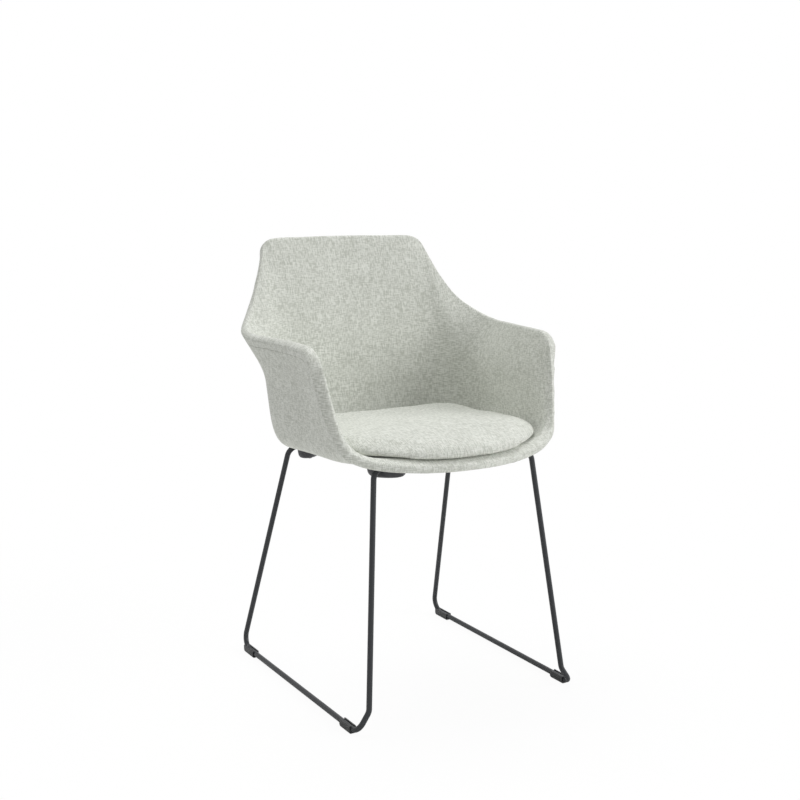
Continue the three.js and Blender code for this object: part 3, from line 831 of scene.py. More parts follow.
@dataclass
class MouldedFittings:
    """Glides, clamp blocks and their screws, made from their solids with broken edges."""

    nodes: dict[str, bpy.types.Object]
    glide_edge: float = 0.5
    block_edge: float = 0.9
    screw_edge: float = 0.25
    edge_steps: int = 2
    same_point: float = 0.001
    flat_angle: float = 1.5
    sharp_angle: float = 32.0

    def rounded(self, node: str, name: str, edge: float) -> bpy.types.Object:
        """Copies a solid, joins its flat facets and breaks its sharp edges.

        Args:
            node: The solid's name.
            name: The new piece's name.
            edge: Width of the broken edges in millimetres.

        Returns:
            The new piece.
        """
        shape = bmesh.new()
        shape.from_mesh(self.nodes[node].data)
        bmesh.ops.remove_doubles(shape, verts=shape.verts, dist=self.same_point * MM)
        bmesh.ops.dissolve_limit(
            shape,
            angle_limit=math.radians(self.flat_angle),
            verts=shape.verts,
            edges=shape.edges,
        )
        mesh = bpy.data.meshes.new(name)
        shape.to_mesh(mesh)
        shape.free()
        mesh.shade_smooth()
        mesh.set_sharp_from_angle(angle=math.radians(self.sharp_angle))
        piece = placed(name, mesh)
        bevel = piece.modifiers.new("broken_edges", "BEVEL")
        bevel.width = edge * MM
        bevel.segments = self.edge_steps
        bevel.limit_method = "ANGLE"
        bevel.angle_limit = math.radians(self.sharp_angle)
        return piece

    def build(self, wardrobe: Wardrobe) -> None:
        """Makes and dresses the fittings at all four corners.

        Args:
            wardrobe: Gives the finishes.
        """
        kinds = (
            ("glide", "clip_glide", self.glide_edge, Slot.GLIDE),
            ("mount_block", "clamp_block", self.block_edge, Slot.BLOCK),
            ("mount_screw", "socket_screw", self.screw_edge, Slot.SCREW),
        )
        for corner in CORNERS:
            for solid, shown, edge, slot in kinds:
                piece = self.rounded(f"{solid}_{corner}", f"{shown}_{corner}", edge)
                wardrobe.add(piece, slot, f"{solid}_{corner}")


@dataclass
class BucketForm:
    """The bucket's surface on the sitter's side, and the layers behind it. Millimetres."""

    frame: WireFrame
    rod_gap: float = 1.0
    fit_gap: float = 0.3
    outer_pad: float = 3.0
    moulding: float = 4.0
    inner_pad: float = 5.0
    seat_centre_reach: float = 137.6
    lip_reach: float = 69.0
    lip_drop: float = 14.0
    lip_thickness: float = 22.0
    rim_flare: float = 20.0
    flare_start: float = 0.72
    seam_setback: float = 12.0
    boss_radius: float = 10.0
    boss_bore: float = 4.8
    boss_root: float = 3.0
    boss_inset: float = 30.5
    boss_setback: float = 23.0
    boss_sides: int = 32
    slope_step: float = 1e-3
    seam_halvings: int = 18
    plan_halvings: int = 16
    # Folds are blended over this share of the way round to either side, and less the
    # nearer the rim
    fold_reach: float = 0.045
    fold_growth: float = 7.0
    fold_weights: tuple[float, ...] = (1.0, 2.0, 3.0, 2.0, 1.0)
    # Half width, setback from a crossbar and height of the rim's named corners
    arm_front: tuple[float, float, float] = (238.0, 62.0, 647.7)
    arm_rear: tuple[float, float, float] = (259.0, -29.7, 654.7)
    back_corner: tuple[float, float, float] = (174.0, 118.0, 808.7)
    back_top: tuple[float, float, float] = (0.0, 126.0, 820.7)

    # Rim stations between two named corners: shares of the way in width, depth and
    # height, the seat's edge as shares of the rim's width and reach, then heel, rise
    # and lean of the wall, flare of the edge and thickness of the lip
    lip_shares: ClassVar[Table] = (
        (0.000, 0.000, 0.000, 0.90, 0.80, 0.60, 0.40, 0.50, 0.0, 0.66),
        (0.314, 0.068, 0.002, 0.90, 0.80, 0.60, 0.40, 0.50, 0.0, 0.66),
        (0.496, 0.170, 0.015, 0.88, 0.80, 0.60, 0.40, 0.45, 0.0, 0.66),
        (0.660, 0.305, 0.040, 0.86, 0.81, 0.62, 0.40, 0.35, 0.1, 0.68),
        (0.800, 0.455, 0.090, 0.81, 0.84, 0.68, 0.38, 0.25, 0.3, 0.74),
        (0.878, 0.540, 0.160, 0.78, 0.88, 0.78, 0.34, 0.18, 0.4, 0.82),
        (0.918, 0.615, 0.278, 0.78, 0.90, 0.84, 0.30, 0.14, 0.5, 0.90),
        (0.950, 0.700, 0.465, 0.79, 0.91, 0.88, 0.26, 0.12, 0.6, 0.95),
        (0.974, 0.790, 0.690, 0.80, 0.92, 0.90, 0.24, 0.12, 0.7, 1.00),
        (0.992, 0.905, 0.900, 0.81, 0.94, 0.90, 0.22, 0.12, 0.8, 1.00),
    )
    arm_shares: ClassVar[Table] = (
        (0.00, 0.06, 0.00, 0.81, 0.93, 0.90, 0.22, 0.12, 0.9, 1.00),
        (0.04, 0.22, 0.55, 0.80, 0.91, 0.89, 0.22, 0.12, 1.0, 0.98),
        (0.20, 0.45, 0.75, 0.78, 0.88, 0.87, 0.22, 0.12, 1.2, 0.92),
        (0.60, 0.75, 0.88, 0.75, 0.80, 0.86, 0.22, 0.14, 1.4, 0.84),
    )
    wing_shares: ClassVar[Table] = (
        (0.00, 0.00, 0.00, 0.74, 0.72, 0.90, 0.22, 0.18, 1.7, 0.78),
        (0.04, 0.28, 0.06, 0.78, 0.66, 0.93, 0.22, 0.20, 1.8, 0.72),
        (0.36, 0.58, 0.26, 0.85, 0.58, 0.86, 0.25, 0.26, 1.8, 0.66),
        (0.65, 0.78, 0.55, 0.90, 0.53, 0.72, 0.26, 0.32, 1.8, 0.62),
        (0.90, 0.94, 0.88, 0.95, 0.52, 0.68, 0.26, 0.38, 1.7, 0.60),
    )
    top_shares: ClassVar[Table] = (
        (0.00, 0.00, 0.00, 0.98, 0.52, 0.71, 0.26, 0.40, 1.6, 0.60),
        (0.09, 0.15, 0.70, 0.98, 0.53, 0.77, 0.27, 0.42, 1.3, 0.60),
        (0.50, 0.60, 0.92, 0.95, 0.54, 0.83, 0.27, 0.46, 1.1, 0.60),
        (1.00, 1.00, 1.00, 0.95, 0.54, 0.84, 0.27, 0.46, 1.1, 0.60),
    )

    def __post_init__(self) -> None:
        """Works out the seat plane, the stations and the curves through them."""
        frame = self.frame
        self.tilt = math.atan((frame.front_bar_height - frame.rear_bar_height) / frame.bar_spacing)
        self.bar_centre = (frame.front_bar_height + frame.rear_bar_height) / 2
        self.cover_low = frame.rod_diameter / 2 + self.rod_gap
        moulding_low = self.cover_low + self.outer_pad + self.fit_gap
        self.seat_floor = moulding_low + self.moulding + self.fit_gap + self.inner_pad
        self.outer_depth = self.inner_pad + self.moulding + 2 * self.fit_gap
        self.seat_centre_y = frame.front_bar_y + self.seat_centre_reach
        self.normal = np.array([0, math.sin(self.tilt), math.cos(self.tilt)])
        lip_y = frame.front_bar_y - self.lip_reach
        lip = np.array([0, lip_y, self.seat_plane(lip_y) - self.lip_drop])
        arm_front = self.corner(self.arm_front, frame.front_bar_y)
        arm_rear, back_corner, back_top = (
            self.corner(row, frame.rear_bar_y) for row in (self.arm_rear, self.back_corner, self.back_top)
        )
        rows = np.vstack([
            self.stations(lip, arm_front, self.lip_shares),
            self.stations(arm_front, arm_rear, self.arm_shares),
            self.stations(arm_rear, back_corner, self.wing_shares),
            self.stations(back_corner, back_top, self.top_shares),
        ])
        self.rim = ClosedSpline(mirrored(rows[:, 0:3], True))
        self.floor = ClosedSpline(mirrored(rows[:, 3:6], True))
        self.wall = ClosedSpline(mirrored(rows[:, 6:9], False))
        self.edge = ClosedSpline(mirrored(rows[:, 9:12], False))

    def corner(self, row: tuple[float, float, float], bar_y: float) -> np.ndarray:
        """Places a named rim corner by its half width, its setback from a bar and its height."""
        return np.array([row[0], bar_y + row[1], row[2]])

    def from_seat(self, local: np.ndarray) -> np.ndarray:
        """Moves points from the tilted seat's own frame, which holds both bars, to the chair's."""
        turn = np.array(Matrix.Rotation(-self.tilt, 3, "X"))
        return local @ turn.T + np.array([0, self.frame.middle_y, self.bar_centre])

    def seat_plane(self, y: np.ndarray | float) -> np.ndarray | float:
        """Returns the height of the sitter's side of the flat seat at a depth."""
        rise = self.seat_floor / math.cos(self.tilt)
        return self.frame.front_bar_height - math.tan(self.tilt) * (y - self.frame.front_bar_y) + rise

    def stations(self, start: np.ndarray, end: np.ndarray, shares: Table) -> np.ndarray:
        """Turns share rows into station rows.

        Args:
            start: The corner that the rows leave.
            end: The corner that they reach.
            shares: One row of shares a station.

        Returns:
            Rows of rim, floor, wall and edge, three numbers each.
        """
        table = np.array(shares)
        rim = start + (end - start) * table[:, 0:3]
        floor = np.column_stack([
            rim[:, 0] * table[:, 3],
            self.seat_centre_y + (rim[:, 1] - self.seat_centre_y) * table[:, 4],
            np.zeros(len(table)),
        ])
        edge = np.column_stack([
            table[:, 8] * self.rim_flare,
            table[:, 9] * self.lip_thickness,
            np.zeros(len(table)),
        ])
        return np.hstack([rim, floor, table[:, 5:8], edge])

    def bosses(self) -> tuple[np.ndarray, ...]:
        """Gives the moulding's four drilled bosses.

        Returns:
            One closed row of rings a boss, round its section.
        """
        frame = self.frame
        angles = np.linspace(0, math.tau, self.boss_sides, endpoint=False)
        circle = np.column_stack([np.cos(angles), np.sin(angles), np.zeros(self.boss_sides)])
        low = self.cover_low
        high = low + self.outer_pad + self.fit_gap + self.boss_root
        profile = [
            (self.boss_bore, low),
            (self.boss_radius, low),
            (self.boss_radius, high),
            (self.boss_bore, high),
        ]
        bar_reach = frame.bar_spacing / 2 / math.cos(self.tilt)
        rows = []
        for side in SIDES.values():
            for end, span in ((-1, frame.front_corner_span), (1, frame.rear_corner_span)):
                x = side * (span / 2 - self.boss_inset)
                y = end * (bar_reach - self.boss_setback)
                rings = [circle * radius + np.array([x, y, height]) for radius, height in profile]
                rows.append(np.array([self.from_seat(ring) for ring in [*rings, rings[0]]]))
        return tuple(rows)

    def point(self, around: np.ndarray, way: np.ndarray) -> np.ndarray:
        """Finds points of the sitter's side, whose folds soften below the rim.

        Args:
            around: Shares of the way round from the front middle.
            way: -1 at the seat centre, 0 where the floor ends, 1 at the rim.

        Returns:
            One row a point.
        """
        reach = self.fold_reach * (1 - np.clip(way, 0, 1) ** self.fold_growth)
        weights = np.array(self.fold_weights)
        offsets = np.linspace(-1, 1, len(weights))
        return sum(
            weight * self.section_point(around + offset * reach, way)
            for offset, weight in zip(offsets, weights / weights.sum())
        )

    def section_point(self, around: np.ndarray, way: np.ndarray) -> np.ndarray:
        """Finds points of the plain sections between the seat centre and the rim.

        Args:
            around: Shares of the way round.
            way: The way up the section.

        Returns:
            One row a point.
        """
        floor = self.floor.at(around)
        rim = self.rim.at(around)
        heel, rise, lean = self.wall.at(around).T
        flare = self.edge.at(around)[:, 0]
        inward = np.minimum(way, 0) + 1
        flat_x = floor[:, 0] * inward
        flat_y = self.seat_centre_y + (floor[:, 1] - self.seat_centre_y) * inward
        up = np.maximum(way, 0)
        reach = np.hypot(rim[:, 0] - floor[:, 0], rim[:, 1] - floor[:, 1])
        flared = np.maximum(0, (up - self.flare_start) / (1 - self.flare_start)) ** 2
        run = ((reach - flare) * climb(heel, 1 - lean, up) + flare * flared) / reach
        x = flat_x + (rim[:, 0] - floor[:, 0]) * run
        y = flat_y + (rim[:, 1] - floor[:, 1]) * run
        plane = self.seat_plane(y)
        z = plane + (rim[:, 2] - plane) * climb(np.zeros_like(rise), rise, up)
        return np.column_stack([x, y, z])

    def away(self, around: np.ndarray, way: np.ndarray) -> np.ndarray:
        """Finds which way leads from the sitter into the shell.

        Args:
            around: Shares of the way round.
            way: The way up the section.

        Returns:
            One unit vector a point.
        """
        step = self.slope_step
        low = np.maximum(-1 + step, np.minimum(way, 1) - step)
        high = np.minimum(1, np.maximum(way, -1 + step) + step)
        along = self.point(around, high) - self.point(around, low)
        across = self.point(around + step, way) - self.point(around - step, way)
        normal = np.cross(across, along)
        length = np.linalg.norm(normal, axis=1, keepdims=True)
        # All sections meet at the seat centre, where the flat seat itself gives the way
        centre = way < -1 + 2 * step
        return np.where(centre[:, None], -self.normal, normal / np.maximum(length, TINY))

    def seam_ways(self, around: np.ndarray) -> np.ndarray:
        """Finds how far up the seam of the covers lies at each place round the rim.

        Args:
            around: Shares of the way round.

        Returns:
            The way from 0 to 1 that is the seam's setback from the rim.
        """
        rim = self.point(around, np.ones_like(around))

        def below(way: np.ndarray) -> np.ndarray:
            """Tells which ways are farther from the rim than the seam."""
            return np.linalg.norm(self.point(around, way) - rim, axis=1) > self.seam_setback

        return closed_in(np.zeros_like(around), np.ones_like(around), below, self.seam_halvings)

    def at_reach(self, around: np.ndarray, reach: np.ndarray) -> np.ndarray:
        """Finds surface points by their distance from the seat centre in plan.

        Args:
            around: Shares of the way round.
            reach: The distance of each.

        Returns:
            One row a point.
        """

        def nearer(way: np.ndarray) -> np.ndarray:
            """Tells which ways end nearer to the seat centre."""
            spot = self.point(around, way)
            return np.hypot(spot[:, 0], spot[:, 1] - self.seat_centre_y) < reach

        ways = closed_in(-np.ones_like(reach), np.ones_like(reach), nearer, self.plan_halvings)
        return self.point(around, ways)

    def rise_over(self, x: np.ndarray, y: np.ndarray) -> np.ndarray:
        """Finds how far the surface stands above the seat plane at places in plan.

        Args:
            x: Places across.
            y: Places in depth.

        Returns:
            One height a place.
        """
        reach = np.hypot(x, y - self.seat_centre_y)
        bearing = np.arctan2(y - self.seat_centre_y, np.abs(x))

        def before(around: np.ndarray) -> np.ndarray:
            """Tells which shares of the way round fall short of the bearing."""
            spot = self.at_reach(around, reach)
            return np.arctan2(spot[:, 1] - self.seat_centre_y, spot[:, 0]) < bearing

        front_middle, rear_middle = np.zeros_like(reach), np.full_like(reach, 0.5)
        around = closed_in(front_middle, rear_middle, before, self.plan_halvings)
        spot = self.at_reach(around, reach)
        return spot[:, 2] - self.seat_plane(spot[:, 1])


# Places up a cover's section, counted from the floor's edge
SEAM = 1
RIM = 2


@dataclass(frozen=True)
class ProfilePoint:
    """One point of a cover's section.

    Attributes:
        place: -1 at the seat centre, 0 at the floor's edge, on to SEAM and RIM.
        depth: Millimetres behind the sitter's side.
        over: Millimetres past the place, on along the section.
        lip_share: Share of the lip's thickness that is added to the depth.
    """

    place: float
    depth: float
    over: float = 0.0
    lip_share: float = 0.0


@dataclass
class Covers:
    """The two cloth covers, the sitter's side with its turned lip, and the moulding inside."""

    form: BucketForm
    loop_steps: int = 264
    floor_steps: int = 8
    wall_steps: int = 34
    lip_steps: int = 6
    roll_steps: int = 18
    lip_overhang: float = 6.0
    tuck_radius: float = 0.35
    tuck_steps: int = 4
    tuck_gap: float = 0.1
    sharp_angle: float = 28.0
    swell_start: float = 0.55
    chord_back: float = 0.21

    def places(self) -> list[float]:
        """Lists the places of a section.

        Returns:
            Places from beside the seat centre to the rim.
        """
        floor = [-1 + i / self.floor_steps for i in range(1, self.floor_steps)]
        wall = [i / self.wall_steps for i in range(self.wall_steps)]
        lip = [SEAM + i / self.lip_steps for i in range(self.lip_steps + 1)]
        return floor + wall + lip

    def ring(self, spot: ProfilePoint, around: np.ndarray, seam: np.ndarray, lip: np.ndarray) -> np.ndarray:
        """Finds one profile point all the way round.

        Args:
            spot: The profile point.
            around: Shares of the way round.
            seam: The seam's way at each.
            lip: The lip's thickness at each.

        Returns:
            One row a share.
        """
        depth = spot.depth + spot.lip_share * lip
        point = self.at_place(spot.place, depth, around, seam)
        if spot.over:
            back = SEAM if spot.place > SEAM else spot.place - self.chord_back
            chord = point - self.at_place(back, depth, around, seam)
            point = point + chord / np.linalg.norm(chord, axis=1, keepdims=True) * spot.over
        return point

    def at_place(self, place: float, depth: np.ndarray, around: np.ndarray, seam: np.ndarray) -> np.ndarray:
        """Finds points at one place up the section.

        Args:
            place: The place.
            depth: Millimetres behind the sitter's side at each share.
            around: Shares of the way round.
            seam: The seam's way at each.

        Returns:
            One row a share.
        """
        if place > SEAM:
            way = seam + (1 - seam) * (place - SEAM)
        elif place > 0:
            way = place * seam
        else:
            way = np.full_like(seam, place)
        surface = self.form.point(around, way)
        return surface + self.form.away(around, way) * depth[:, None]

    def body(
        self,
        name: str,
        profile: list[ProfilePoint],
        extras: tuple[np.ndarray, ...] = (),
    ) -> bpy.types.Object:
        """Makes a closed layer from its profile.

        Args:
            name: The piece's name.
            profile: From the seat centre on one face out and back on the other.
            extras: Closed rows of rings that belong to the same piece.

        Returns:
            The piece.
        """
        around = np.arange(self.loop_steps) / self.loop_steps
        seam = self.form.seam_ways(around)
        lip = self.form.edge.at(around)[:, 1]
        rings = np.array([self.ring(spot, around, seam, lip) for spot in profile])
        points, faces = loft(rings)
        for extra in extras:
            more_points, more_faces = loft(extra, closed_ends=False)
            faces += [tuple(index + len(points) for index in face) for face in more_faces]
            points = np.vstack([points, more_points])
        return new_piece(name, points, faces, self.sharp_angle)

    def inner(self) -> bpy.types.Object:
        """Makes the sitter's cover: over the rim, round the lip and tucked in at the seam.

        Returns:
            The cover.
        """
        form = self.form
        face = [ProfilePoint(place, 0) for place in self.places()[:-1]]
        roll = []
        for i in range(self.roll_steps + 1):
            angle = math.pi * i / self.roll_steps
            share = (1 - math.cos(angle)) / 2
            roll.append(ProfilePoint(RIM, 0, self.lip_overhang * math.sin(angle), share))
        down = [ProfilePoint(RIM - i / self.lip_steps, 0, 0, 1) for i in range(1, self.lip_steps)]
        # The cloth turns into the seam round a small radius, on its own side of the gap
        tuck = []
        for angle in np.linspace(0, math.pi / 2, self.tuck_steps):
            drawn_in = -self.tuck_radius * (1 - math.cos(angle))
            over = self.tuck_radius * (1 - math.sin(angle)) + self.tuck_gap / 2
            tuck.append(ProfilePoint(SEAM, drawn_in, over, 1))
        inside = [
            ProfilePoint(SEAM, form.outer_depth, self.tuck_gap / 2),
            ProfilePoint(RIM, form.outer_depth),
            ProfilePoint(RIM, form.inner_pad),
        ]
        back = [ProfilePoint(place, form.inner_pad) for place in self.places()[-2::-1]]
        return self.body("sitter_side_cover", face + roll + down + tuck + inside + back)

    def outer(self) -> bpy.types.Object:
        """Makes the outer cover: its edge rolled in at the seam, then down and under the seat.

        Returns:
            The cover.
        """
        form = self.form
        places = [place for place in self.places() if place <= SEAM]
        low, high = form.outer_depth, form.outer_depth + form.outer_pad
        hidden = [ProfilePoint(place, low) for place in places[:-1]]
        rolled = []
        for angle in np.linspace(0, math.pi / 2, self.tuck_steps):
            share = math.sin(angle)
            back = -self.tuck_gap - self.tuck_radius * (1 - math.cos(angle))
            rolled.append(ProfilePoint(SEAM, low * (1 - share), back, share))
        # Below the seam the cover swells into the lip's thickness, level with it
        shown = []
        for place in places[-2::-1]:
            share = eased(max(0, (place - self.swell_start) / (SEAM - self.swell_start)))
            shown.append(ProfilePoint(place, high * (1 - share), 0, share))
        return self.body("outer_side_cover", hidden + rolled + shown)

    def moulding(self) -> bpy.types.Object:
        """Makes the moulding between the covers, with a drilled boss over each clamp block.

        Returns:
            The moulding.
        """
        form = self.form
        near = form.inner_pad + form.fit_gap
        places = self.places()
        face = [ProfilePoint(place, near) for place in places]
        back = [ProfilePoint(place, near + form.moulding) for place in places[::-1]]
        return self.body("moulded_bucket", face + back, form.bosses())

    def build(self, wardrobe: Wardrobe) -> None:
        """Makes and dresses both covers and the moulding between them.

        Args:
            wardrobe: Gives the finishes.
        """
        inner = wardrobe.add(self.inner(), Slot.CLOTH, "inner_upholstery")
        outer = wardrobe.add(self.outer(), Slot.CLOTH, "outer_upholstery")
        wardrobe.add(self.moulding(), Slot.SHELL, "shell_moulding")


@dataclass
class SeatPad:
    """The loose seat pad: foam in a sewn cover, swelled by a short cloth simulation."""

    form: BucketForm
    half_width: float = 220.0
    front_reach: float = 216.0
    rear_reach: float = 160.0
    thickness: float = 30.0
    crown: float = 5.0
    front_fall: float = 13.0
    fall_start: float = 90.0
    rear_rise: float = 9.0
    rise_start: float = 40.0
    edge_gap: float = 2.0
    rise_limit: float = 14.0
    board_top: float = 3.6
    board_inset: float = 42.0
    slack: float = 3.0
    steps: int = 180
    voxel: float = 5.0
    pressure: float = 4.0
    frames: int = 20
    swell_cap: float = 5.0
    full_lift_height: float = 15.0
    smoothings: int = 6
    finer_levels: int = 1

    # Half the outline: shares of the half width, and of the reach to the front or rear
    outline_shares: ClassVar[Table] = (
        (0.00, -1.00), (0.20, -0.985), (0.38, -0.945), (0.55, -0.87), (0.71, -0.77), (0.84, -0.65),
        (0.935, -0.51), (0.985, -0.36), (1.00, -0.18), (0.99, 0.10), (0.96, 0.38), (0.92, 0.64),
        (0.87, 0.85), (0.80, 0.96), (0.69, 1.00), (0.50, 1.00), (0.25, 0.98), (0.00, 0.97),
    )
    # The side from top to underside: shares of the outline and of the height
    side_shares: ClassVar[Table] = (
        (0.900, 0.985), (0.935, 0.95), (0.958, 0.90), (0.975, 0.84), (0.987, 0.75), (0.995, 0.64),
        (1.000, 0.50), (1.000, 0.38), (0.997, 0.25), (0.989, 0.12), (0.978, 0.04), (0.965, 0.00),
        (0.900, 0.00),
    )
    # Shares of the outline at which the top's rings lie
    top_shares: ClassVar[tuple[float, ...]] = (
        0.04, 0.12, 0.2, 0.3, 0.4, 0.5, 0.6, 0.68, 0.76, 0.82, 0.87,
    )

    def outline(self) -> np.ndarray:
        """Gives the slack pad's outline in plan.

        Returns:
            Across and in depth, one row a step round it.
        """
        table = np.array(self.outline_shares)
        reach = np.where(table[:, 1] < 0, self.front_reach, self.rear_reach) - self.slack
        across = table[:, 0] * (self.half_width - self.slack)
        half = np.column_stack([across, table[:, 1] * reach])
        return ClosedSpline(mirrored(half, True)).at(np.arange(self.steps) / self.steps)

    def top_height(self, y: np.ndarray) -> np.ndarray:
        """Gives the slack pad's height, which falls at the front and rises with the shell behind.

        Args:
            y: Places in depth, from the seat's middle.

        Returns:
            Heights over the bars, without the crown.
        """
        top = self.form.seat_floor + self.thickness - self.slack
        fall = np.clip((-y - self.fall_start) / (self.front_reach - self.fall_start), 0, 1)
        rise = np.clip((y - self.rise_start) / (self.rear_reach - self.rise_start), 0, 1)
        return top - self.front_fall * eased(fall) + self.rear_rise * eased(rise)

    def shape(self) -> bpy.types.Object:
        """Lofts the slack pad from its crown over the drawn-in sides to its underside.

        Returns:
            The pad before it swells.
        """
        form = self.form
        edge = self.outline()
        rings = []
        for share in self.top_shares:
            spot = edge * share
            height = self.top_height(spot[:, 1]) + self.crown * (1 - share * share)
            rings.append(np.column_stack([spot, height]))
        for share, up in self.side_shares:
            spot = edge * share
            rise = form.rise_over(spot[:, 0], spot[:, 1] + form.frame.middle_y)
            low = np.minimum(rise, self.rise_limit) + form.seat_floor + self.edge_gap
            rings.append(np.column_stack([spot, low + (self.top_height(edge[:, 1]) - low) * up]))
        under = 1 - (self.board_inset - self.edge_gap) / self.front_reach
        low = np.full(self.steps, form.seat_floor + self.board_top)
        rings.append(np.column_stack([edge * under, low]))
        rings = np.array([form.from_seat(ring) for ring in rings])
        return new_piece("seat_pad_cover", *loft(rings))

    def baked(self, piece: bpy.types.Object) -> None:
        """Replaces a piece's mesh by what its modifiers make of it.

        Args:
            piece: The piece.
        """
        graph = bpy.context.evaluated_depsgraph_get()
        mesh = bpy.data.meshes.new_from_object(piece.evaluated_get(graph))
        piece.modifiers.clear()
        old = piece.data
        piece.data = mesh
        bpy.data.meshes.remove(old)

    def positions(self, mesh: bpy.types.Mesh) -> np.ndarray:
        """Reads a mesh's points.

        Args:
            mesh: The mesh.

        Returns:
            One row a point, in metres.
        """
        flat = np.empty(len(mesh.vertices) * 3)
        mesh.vertices.foreach_get("co", flat)
        return flat.reshape(-1, 3)

    def swell(self, piece: bpy.types.Object) -> None:
        """Gives the pad an even mesh, swells it and smooths it.

        Args:
            piece: The slack pad.
        """
        remesh = piece.modifiers.new("even_mesh", "REMESH")
        remesh.mode = "VOXEL"
        remesh.voxel_size = self.voxel * MM
        self.baked(piece)
        self.simulate(piece)
        smooth = piece.modifiers.new("soft_mesh", "CORRECTIVE_SMOOTH")
        smooth.use_only_smooth = True
        smooth.iterations = self.smoothings
        finer = piece.modifiers.new("finer_mesh", "SUBSURF")
        finer.levels = self.finer_levels
        finer.render_levels = self.finer_levels
        self.baked(piece)
        piece.data.shade_smooth()

    def simulate(self, piece: bpy.types.Object) -> None:
        """Swells the pad with cloth pressure, and caps how far each point moves.

        Args:
            piece: The pad.
        """
        start = self.positions(piece.data)
        cloth = piece.modifiers.new("foam_pressure", "CLOTH")
        settings = cloth.settings
        settings.use_pressure = True
        settings.uniform_pressure_force = self.pressure
        settings.effector_weights.gravity = 0
        cloth.point_cache.frame_end = self.frames
        scene = bpy.context.scene
        for step in range(1, self.frames + 1):
            scene.frame_set(step)
        graph = bpy.context.evaluated_depsgraph_get()
        moved = self.positions(piece.evaluated_get(graph).data) - start
        piece.modifiers.clear()
        scene.frame_set(1)
        # The underside stays on the shell and board; only the shown faces swell
        middle = np.array([0, self.form.frame.middle_y, self.form.bar_centre])
        rise = (start / MM - middle) @ self.form.normal
        lift = np.clip((rise - self.form.seat_floor - self.edge_gap) / self.full_lift_height, 0, 1)
        length = np.linalg.norm(moved, axis=1)
        scale = np.minimum(1, self.swell_cap * MM / np.maximum(length, TINY)) * lift
        piece.data.vertices.foreach_set("co", (start + moved * scale[:, None]).ravel())
        piece.data.update()
        LOG.info("pad swelled by up to %.1f mm", float((length * scale).max()) / MM)

    def build(self, wardrobe: Wardrobe) -> None:
        """Makes, swells and dresses the pad.

        Args:
            wardrobe: Gives the finishes.
        """
        pad = self.shape()
        self.swell(pad)
        wardrobe.add(pad, Slot.CLOTH, "seat_cushion")


@dataclass
class HiddenParts:
    """The pieces between the covers and under the pad, which keep their solids."""

    nodes: dict[str, bpy.types.Object]

    def build(self, wardrobe: Wardrobe) -> None:
        """Dresses the pad's board and the inserts.

        Args:
            wardrobe: Gives the finishes.
        """
        wardrobe.dress(self.nodes["cushion_board"], Slot.BOARD)
        for corner in CORNERS:
            wardrobe.dress(self.nodes[f"threaded_insert_{corner}"], Slot.INSERT)
        LOG.info("hidden parts dressed")


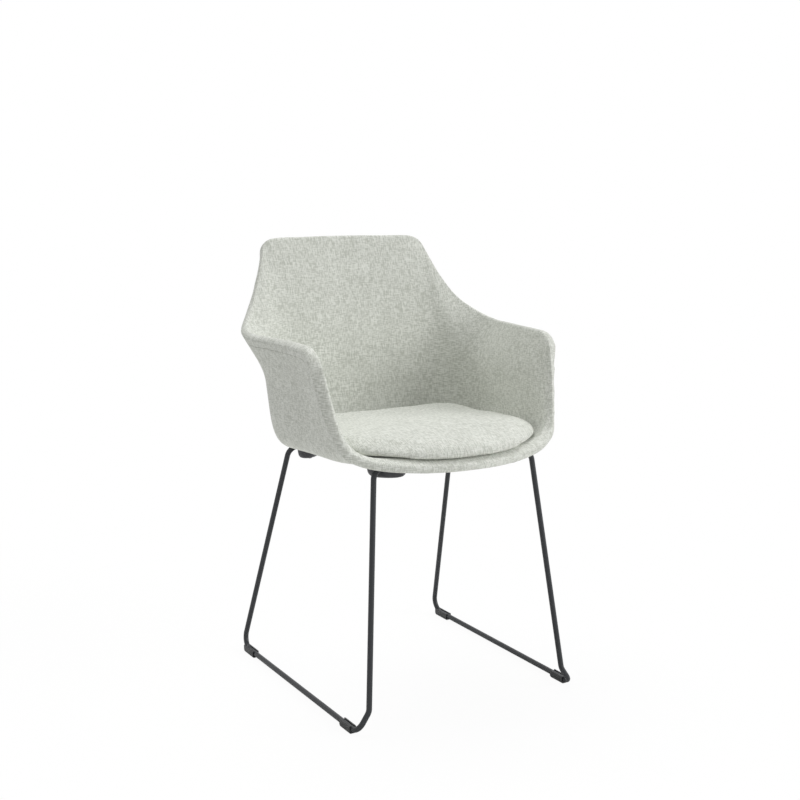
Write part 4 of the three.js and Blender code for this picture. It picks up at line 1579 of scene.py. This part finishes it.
@dataclass
class Studio:
    """A pale floor that keeps the shadow, a white world, soft lamps and the camera. Metres."""

    middle_y: float
    floor_radius: float = 2.4
    floor_sides: int = 96
    floor_colour: str = "#fbfbfa"
    fade_start: float = 0.75
    fade_end: float = 1.7
    # How much of what the camera sees of the floor is plain white
    floor_white: float = 0.94
    world_light: float = 0.47
    lamp_angle: float = 38.0
    azimuth: float = -29.949
    elevation: float = 9.446
    lens_mm: float = 57.326
    sensor_mm: float = 36.0
    camera_x: float = -1.17904
    camera_reach: float = -2.00057
    camera_z: float = 0.91800
    # Name, azimuth and elevation in degrees, strength
    lamps: ClassVar[tuple[tuple[str, float, float, float], ...]] = (
        ("overhead_softbox", 185.0, 70.0, 1.28),
        ("front_softbox", 45.0, 22.0, 1.48),
    )

    def floor(self) -> None:
        """Makes a round floor that fades into the white world and shows the shadow."""
        shape = bmesh.new()
        bmesh.ops.create_circle(
            shape,
            cap_ends=True,
            radius=self.floor_radius,
            segments=self.floor_sides,
        )
        mesh = bpy.data.meshes.new("studio_floor")
        shape.to_mesh(mesh)
        shape.free()
        floor = placed("studio_floor", mesh)
        mesh.materials.append(self.floor_material())

    def floor_material(self) -> bpy.types.Material:
        """Makes matt paper that the camera sees nearly white, and that thins out farther off.

        Returns:
            The material.
        """
        material = bpy.data.materials.new("matt_paper_floor")
        material.use_nodes = True
        tree = material.node_tree
        tree.nodes.clear()
        paper = add_node(tree, "ShaderNodeBsdfDiffuse", {"Color": linear(self.floor_colour)})
        white = add_node(tree, "ShaderNodeEmission", {"Color": linear("#ffffff"), "Strength": 1.0})
        seen = add_node(tree, "ShaderNodeLightPath").outputs["Is Camera Ray"]
        share = add_node(tree, "ShaderNodeMath", {0: seen, 1: self.floor_white}, operation="MULTIPLY")
        lit = add_node(tree, "ShaderNodeMixShader", {
            0: share.outputs[0],
            1: paper.outputs[0],
            2: white.outputs[0],
        })
        place = add_node(tree, "ShaderNodeTexCoord").outputs["Object"]
        reach = add_node(tree, "ShaderNodeVectorMath", {0: place}, operation="LENGTH")
        fade = add_node(tree, "ShaderNodeMapRange", {
            "Value": reach.outputs["Value"],
            "From Min": self.fade_start,
            "From Max": self.fade_end,
        }, interpolation_type="SMOOTHSTEP")
        clear = add_node(tree, "ShaderNodeBsdfTransparent")
        faded = add_node(tree, "ShaderNodeMixShader", {
            0: fade.outputs["Result"],
            1: lit.outputs[0],
            2: clear.outputs[0],
        })
        add_node(tree, "ShaderNodeOutputMaterial", {"Surface": faded.outputs[0]})
        return material

    def world(self) -> None:
        """Makes the world white to the camera and in gloss, and a soft light to the rest."""
        world = bpy.data.worlds.new("white_studio")
        bpy.context.scene.world = world
        world.use_nodes = True
        tree = world.node_tree
        tree.nodes.clear()
        path = add_node(tree, "ShaderNodeLightPath")
        seen = add_node(tree, "ShaderNodeMath", {
            0: path.outputs["Is Camera Ray"],
            1: path.outputs["Is Glossy Ray"],
        }, operation="MAXIMUM")
        shown = add_node(tree, "ShaderNodeMath", {
            0: seen.outputs[0],
            1: path.outputs["Is Transmission Ray"],
        }, operation="MAXIMUM")
        strength = add_node(tree, "ShaderNodeMapRange", {
            "Value": shown.outputs[0],
            "To Min": self.world_light,
            "To Max": 1.0,
        })
        light = add_node(tree, "ShaderNodeBackground", {
            "Color": linear("#ffffff"),
            "Strength": strength.outputs["Result"],
        })
        add_node(tree, "ShaderNodeOutputWorld", {"Surface": light.outputs[0]})

    def lamp(self, name: str, azimuth: float, elevation: float, strength: float) -> None:
        """Adds a wide soft lamp, so far off that it lights every part alike.

        Args:
            name: The lamp's name.
            azimuth: Degrees from the front towards +X.
            elevation: Degrees above the floor.
            strength: Light on a face square to it; a white one at pi looks plain white.
        """
        data = bpy.data.lights.new(name, "SUN")
        data.energy = strength
        data.angle = math.radians(self.lamp_angle)
        lamp = placed(name, data)
        lamp.rotation_euler = self.way(azimuth, elevation).to_track_quat("Z", "Y").to_euler()

    def way(self, azimuth: float, elevation: float) -> Vector:
        """Returns the unit vector from the chair towards a bearing, both angles in degrees."""
        turn, lift = math.radians(azimuth), math.radians(elevation)
        return Vector((math.sin(turn) * math.cos(lift), -math.cos(turn) * math.cos(lift), math.sin(lift)))

    def camera(self) -> None:
        """Sets the camera at the photograph's place, for an 800 by 800 picture."""
        back = self.way(self.azimuth, self.elevation)
        turn = math.radians(self.azimuth)
        right = Vector((math.cos(turn), math.sin(turn), 0))
        up = back.cross(right)
        data = bpy.data.cameras.new("photo_camera")
        data.lens = self.lens_mm
        data.sensor_width = self.sensor_mm
        data.sensor_fit = "HORIZONTAL"
        camera = placed("photo_camera", data)
        where = Vector((self.camera_x, self.middle_y + self.camera_reach, self.camera_z))
        camera.matrix_world = Matrix.Translation(where) @ Matrix((right, up, back)).transposed().to_4x4()
        bpy.context.scene.camera = camera

    def build(self) -> None:
        """Sets up the stage."""
        bpy.context.scene.view_settings.view_transform = "Standard"
        self.camera()
        self.floor()
        self.world()
        for name, azimuth, elevation, strength in self.lamps:
            self.lamp(name, azimuth, elevation, strength)
        LOG.info("studio set")


def main() -> None:
    """Finds the middle between both crossbars' boxes and builds every sub-assembly in order."""
    logging.basicConfig(level=logging.INFO, format="%(message)s")
    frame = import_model()
    bar_sides = [corner.y for name in ("front_crossbar", "rear_crossbar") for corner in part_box(name)]
    middle_y = sum(bar_sides) / len(bar_sides)
    Studio(middle_y).build()
    wardrobe = Wardrobe()
    wire = WireFrame(middle_y / MM)
    form = BucketForm(wire)
    HiddenParts(frame["nodes"]).build(wardrobe)
    wire.build(wardrobe)
    MouldedFittings(frame["nodes"]).build(wardrobe)
    Covers(form).build(wardrobe)
    SeatPad(form).build(wardrobe)


if __name__ == "__main__":
    main()
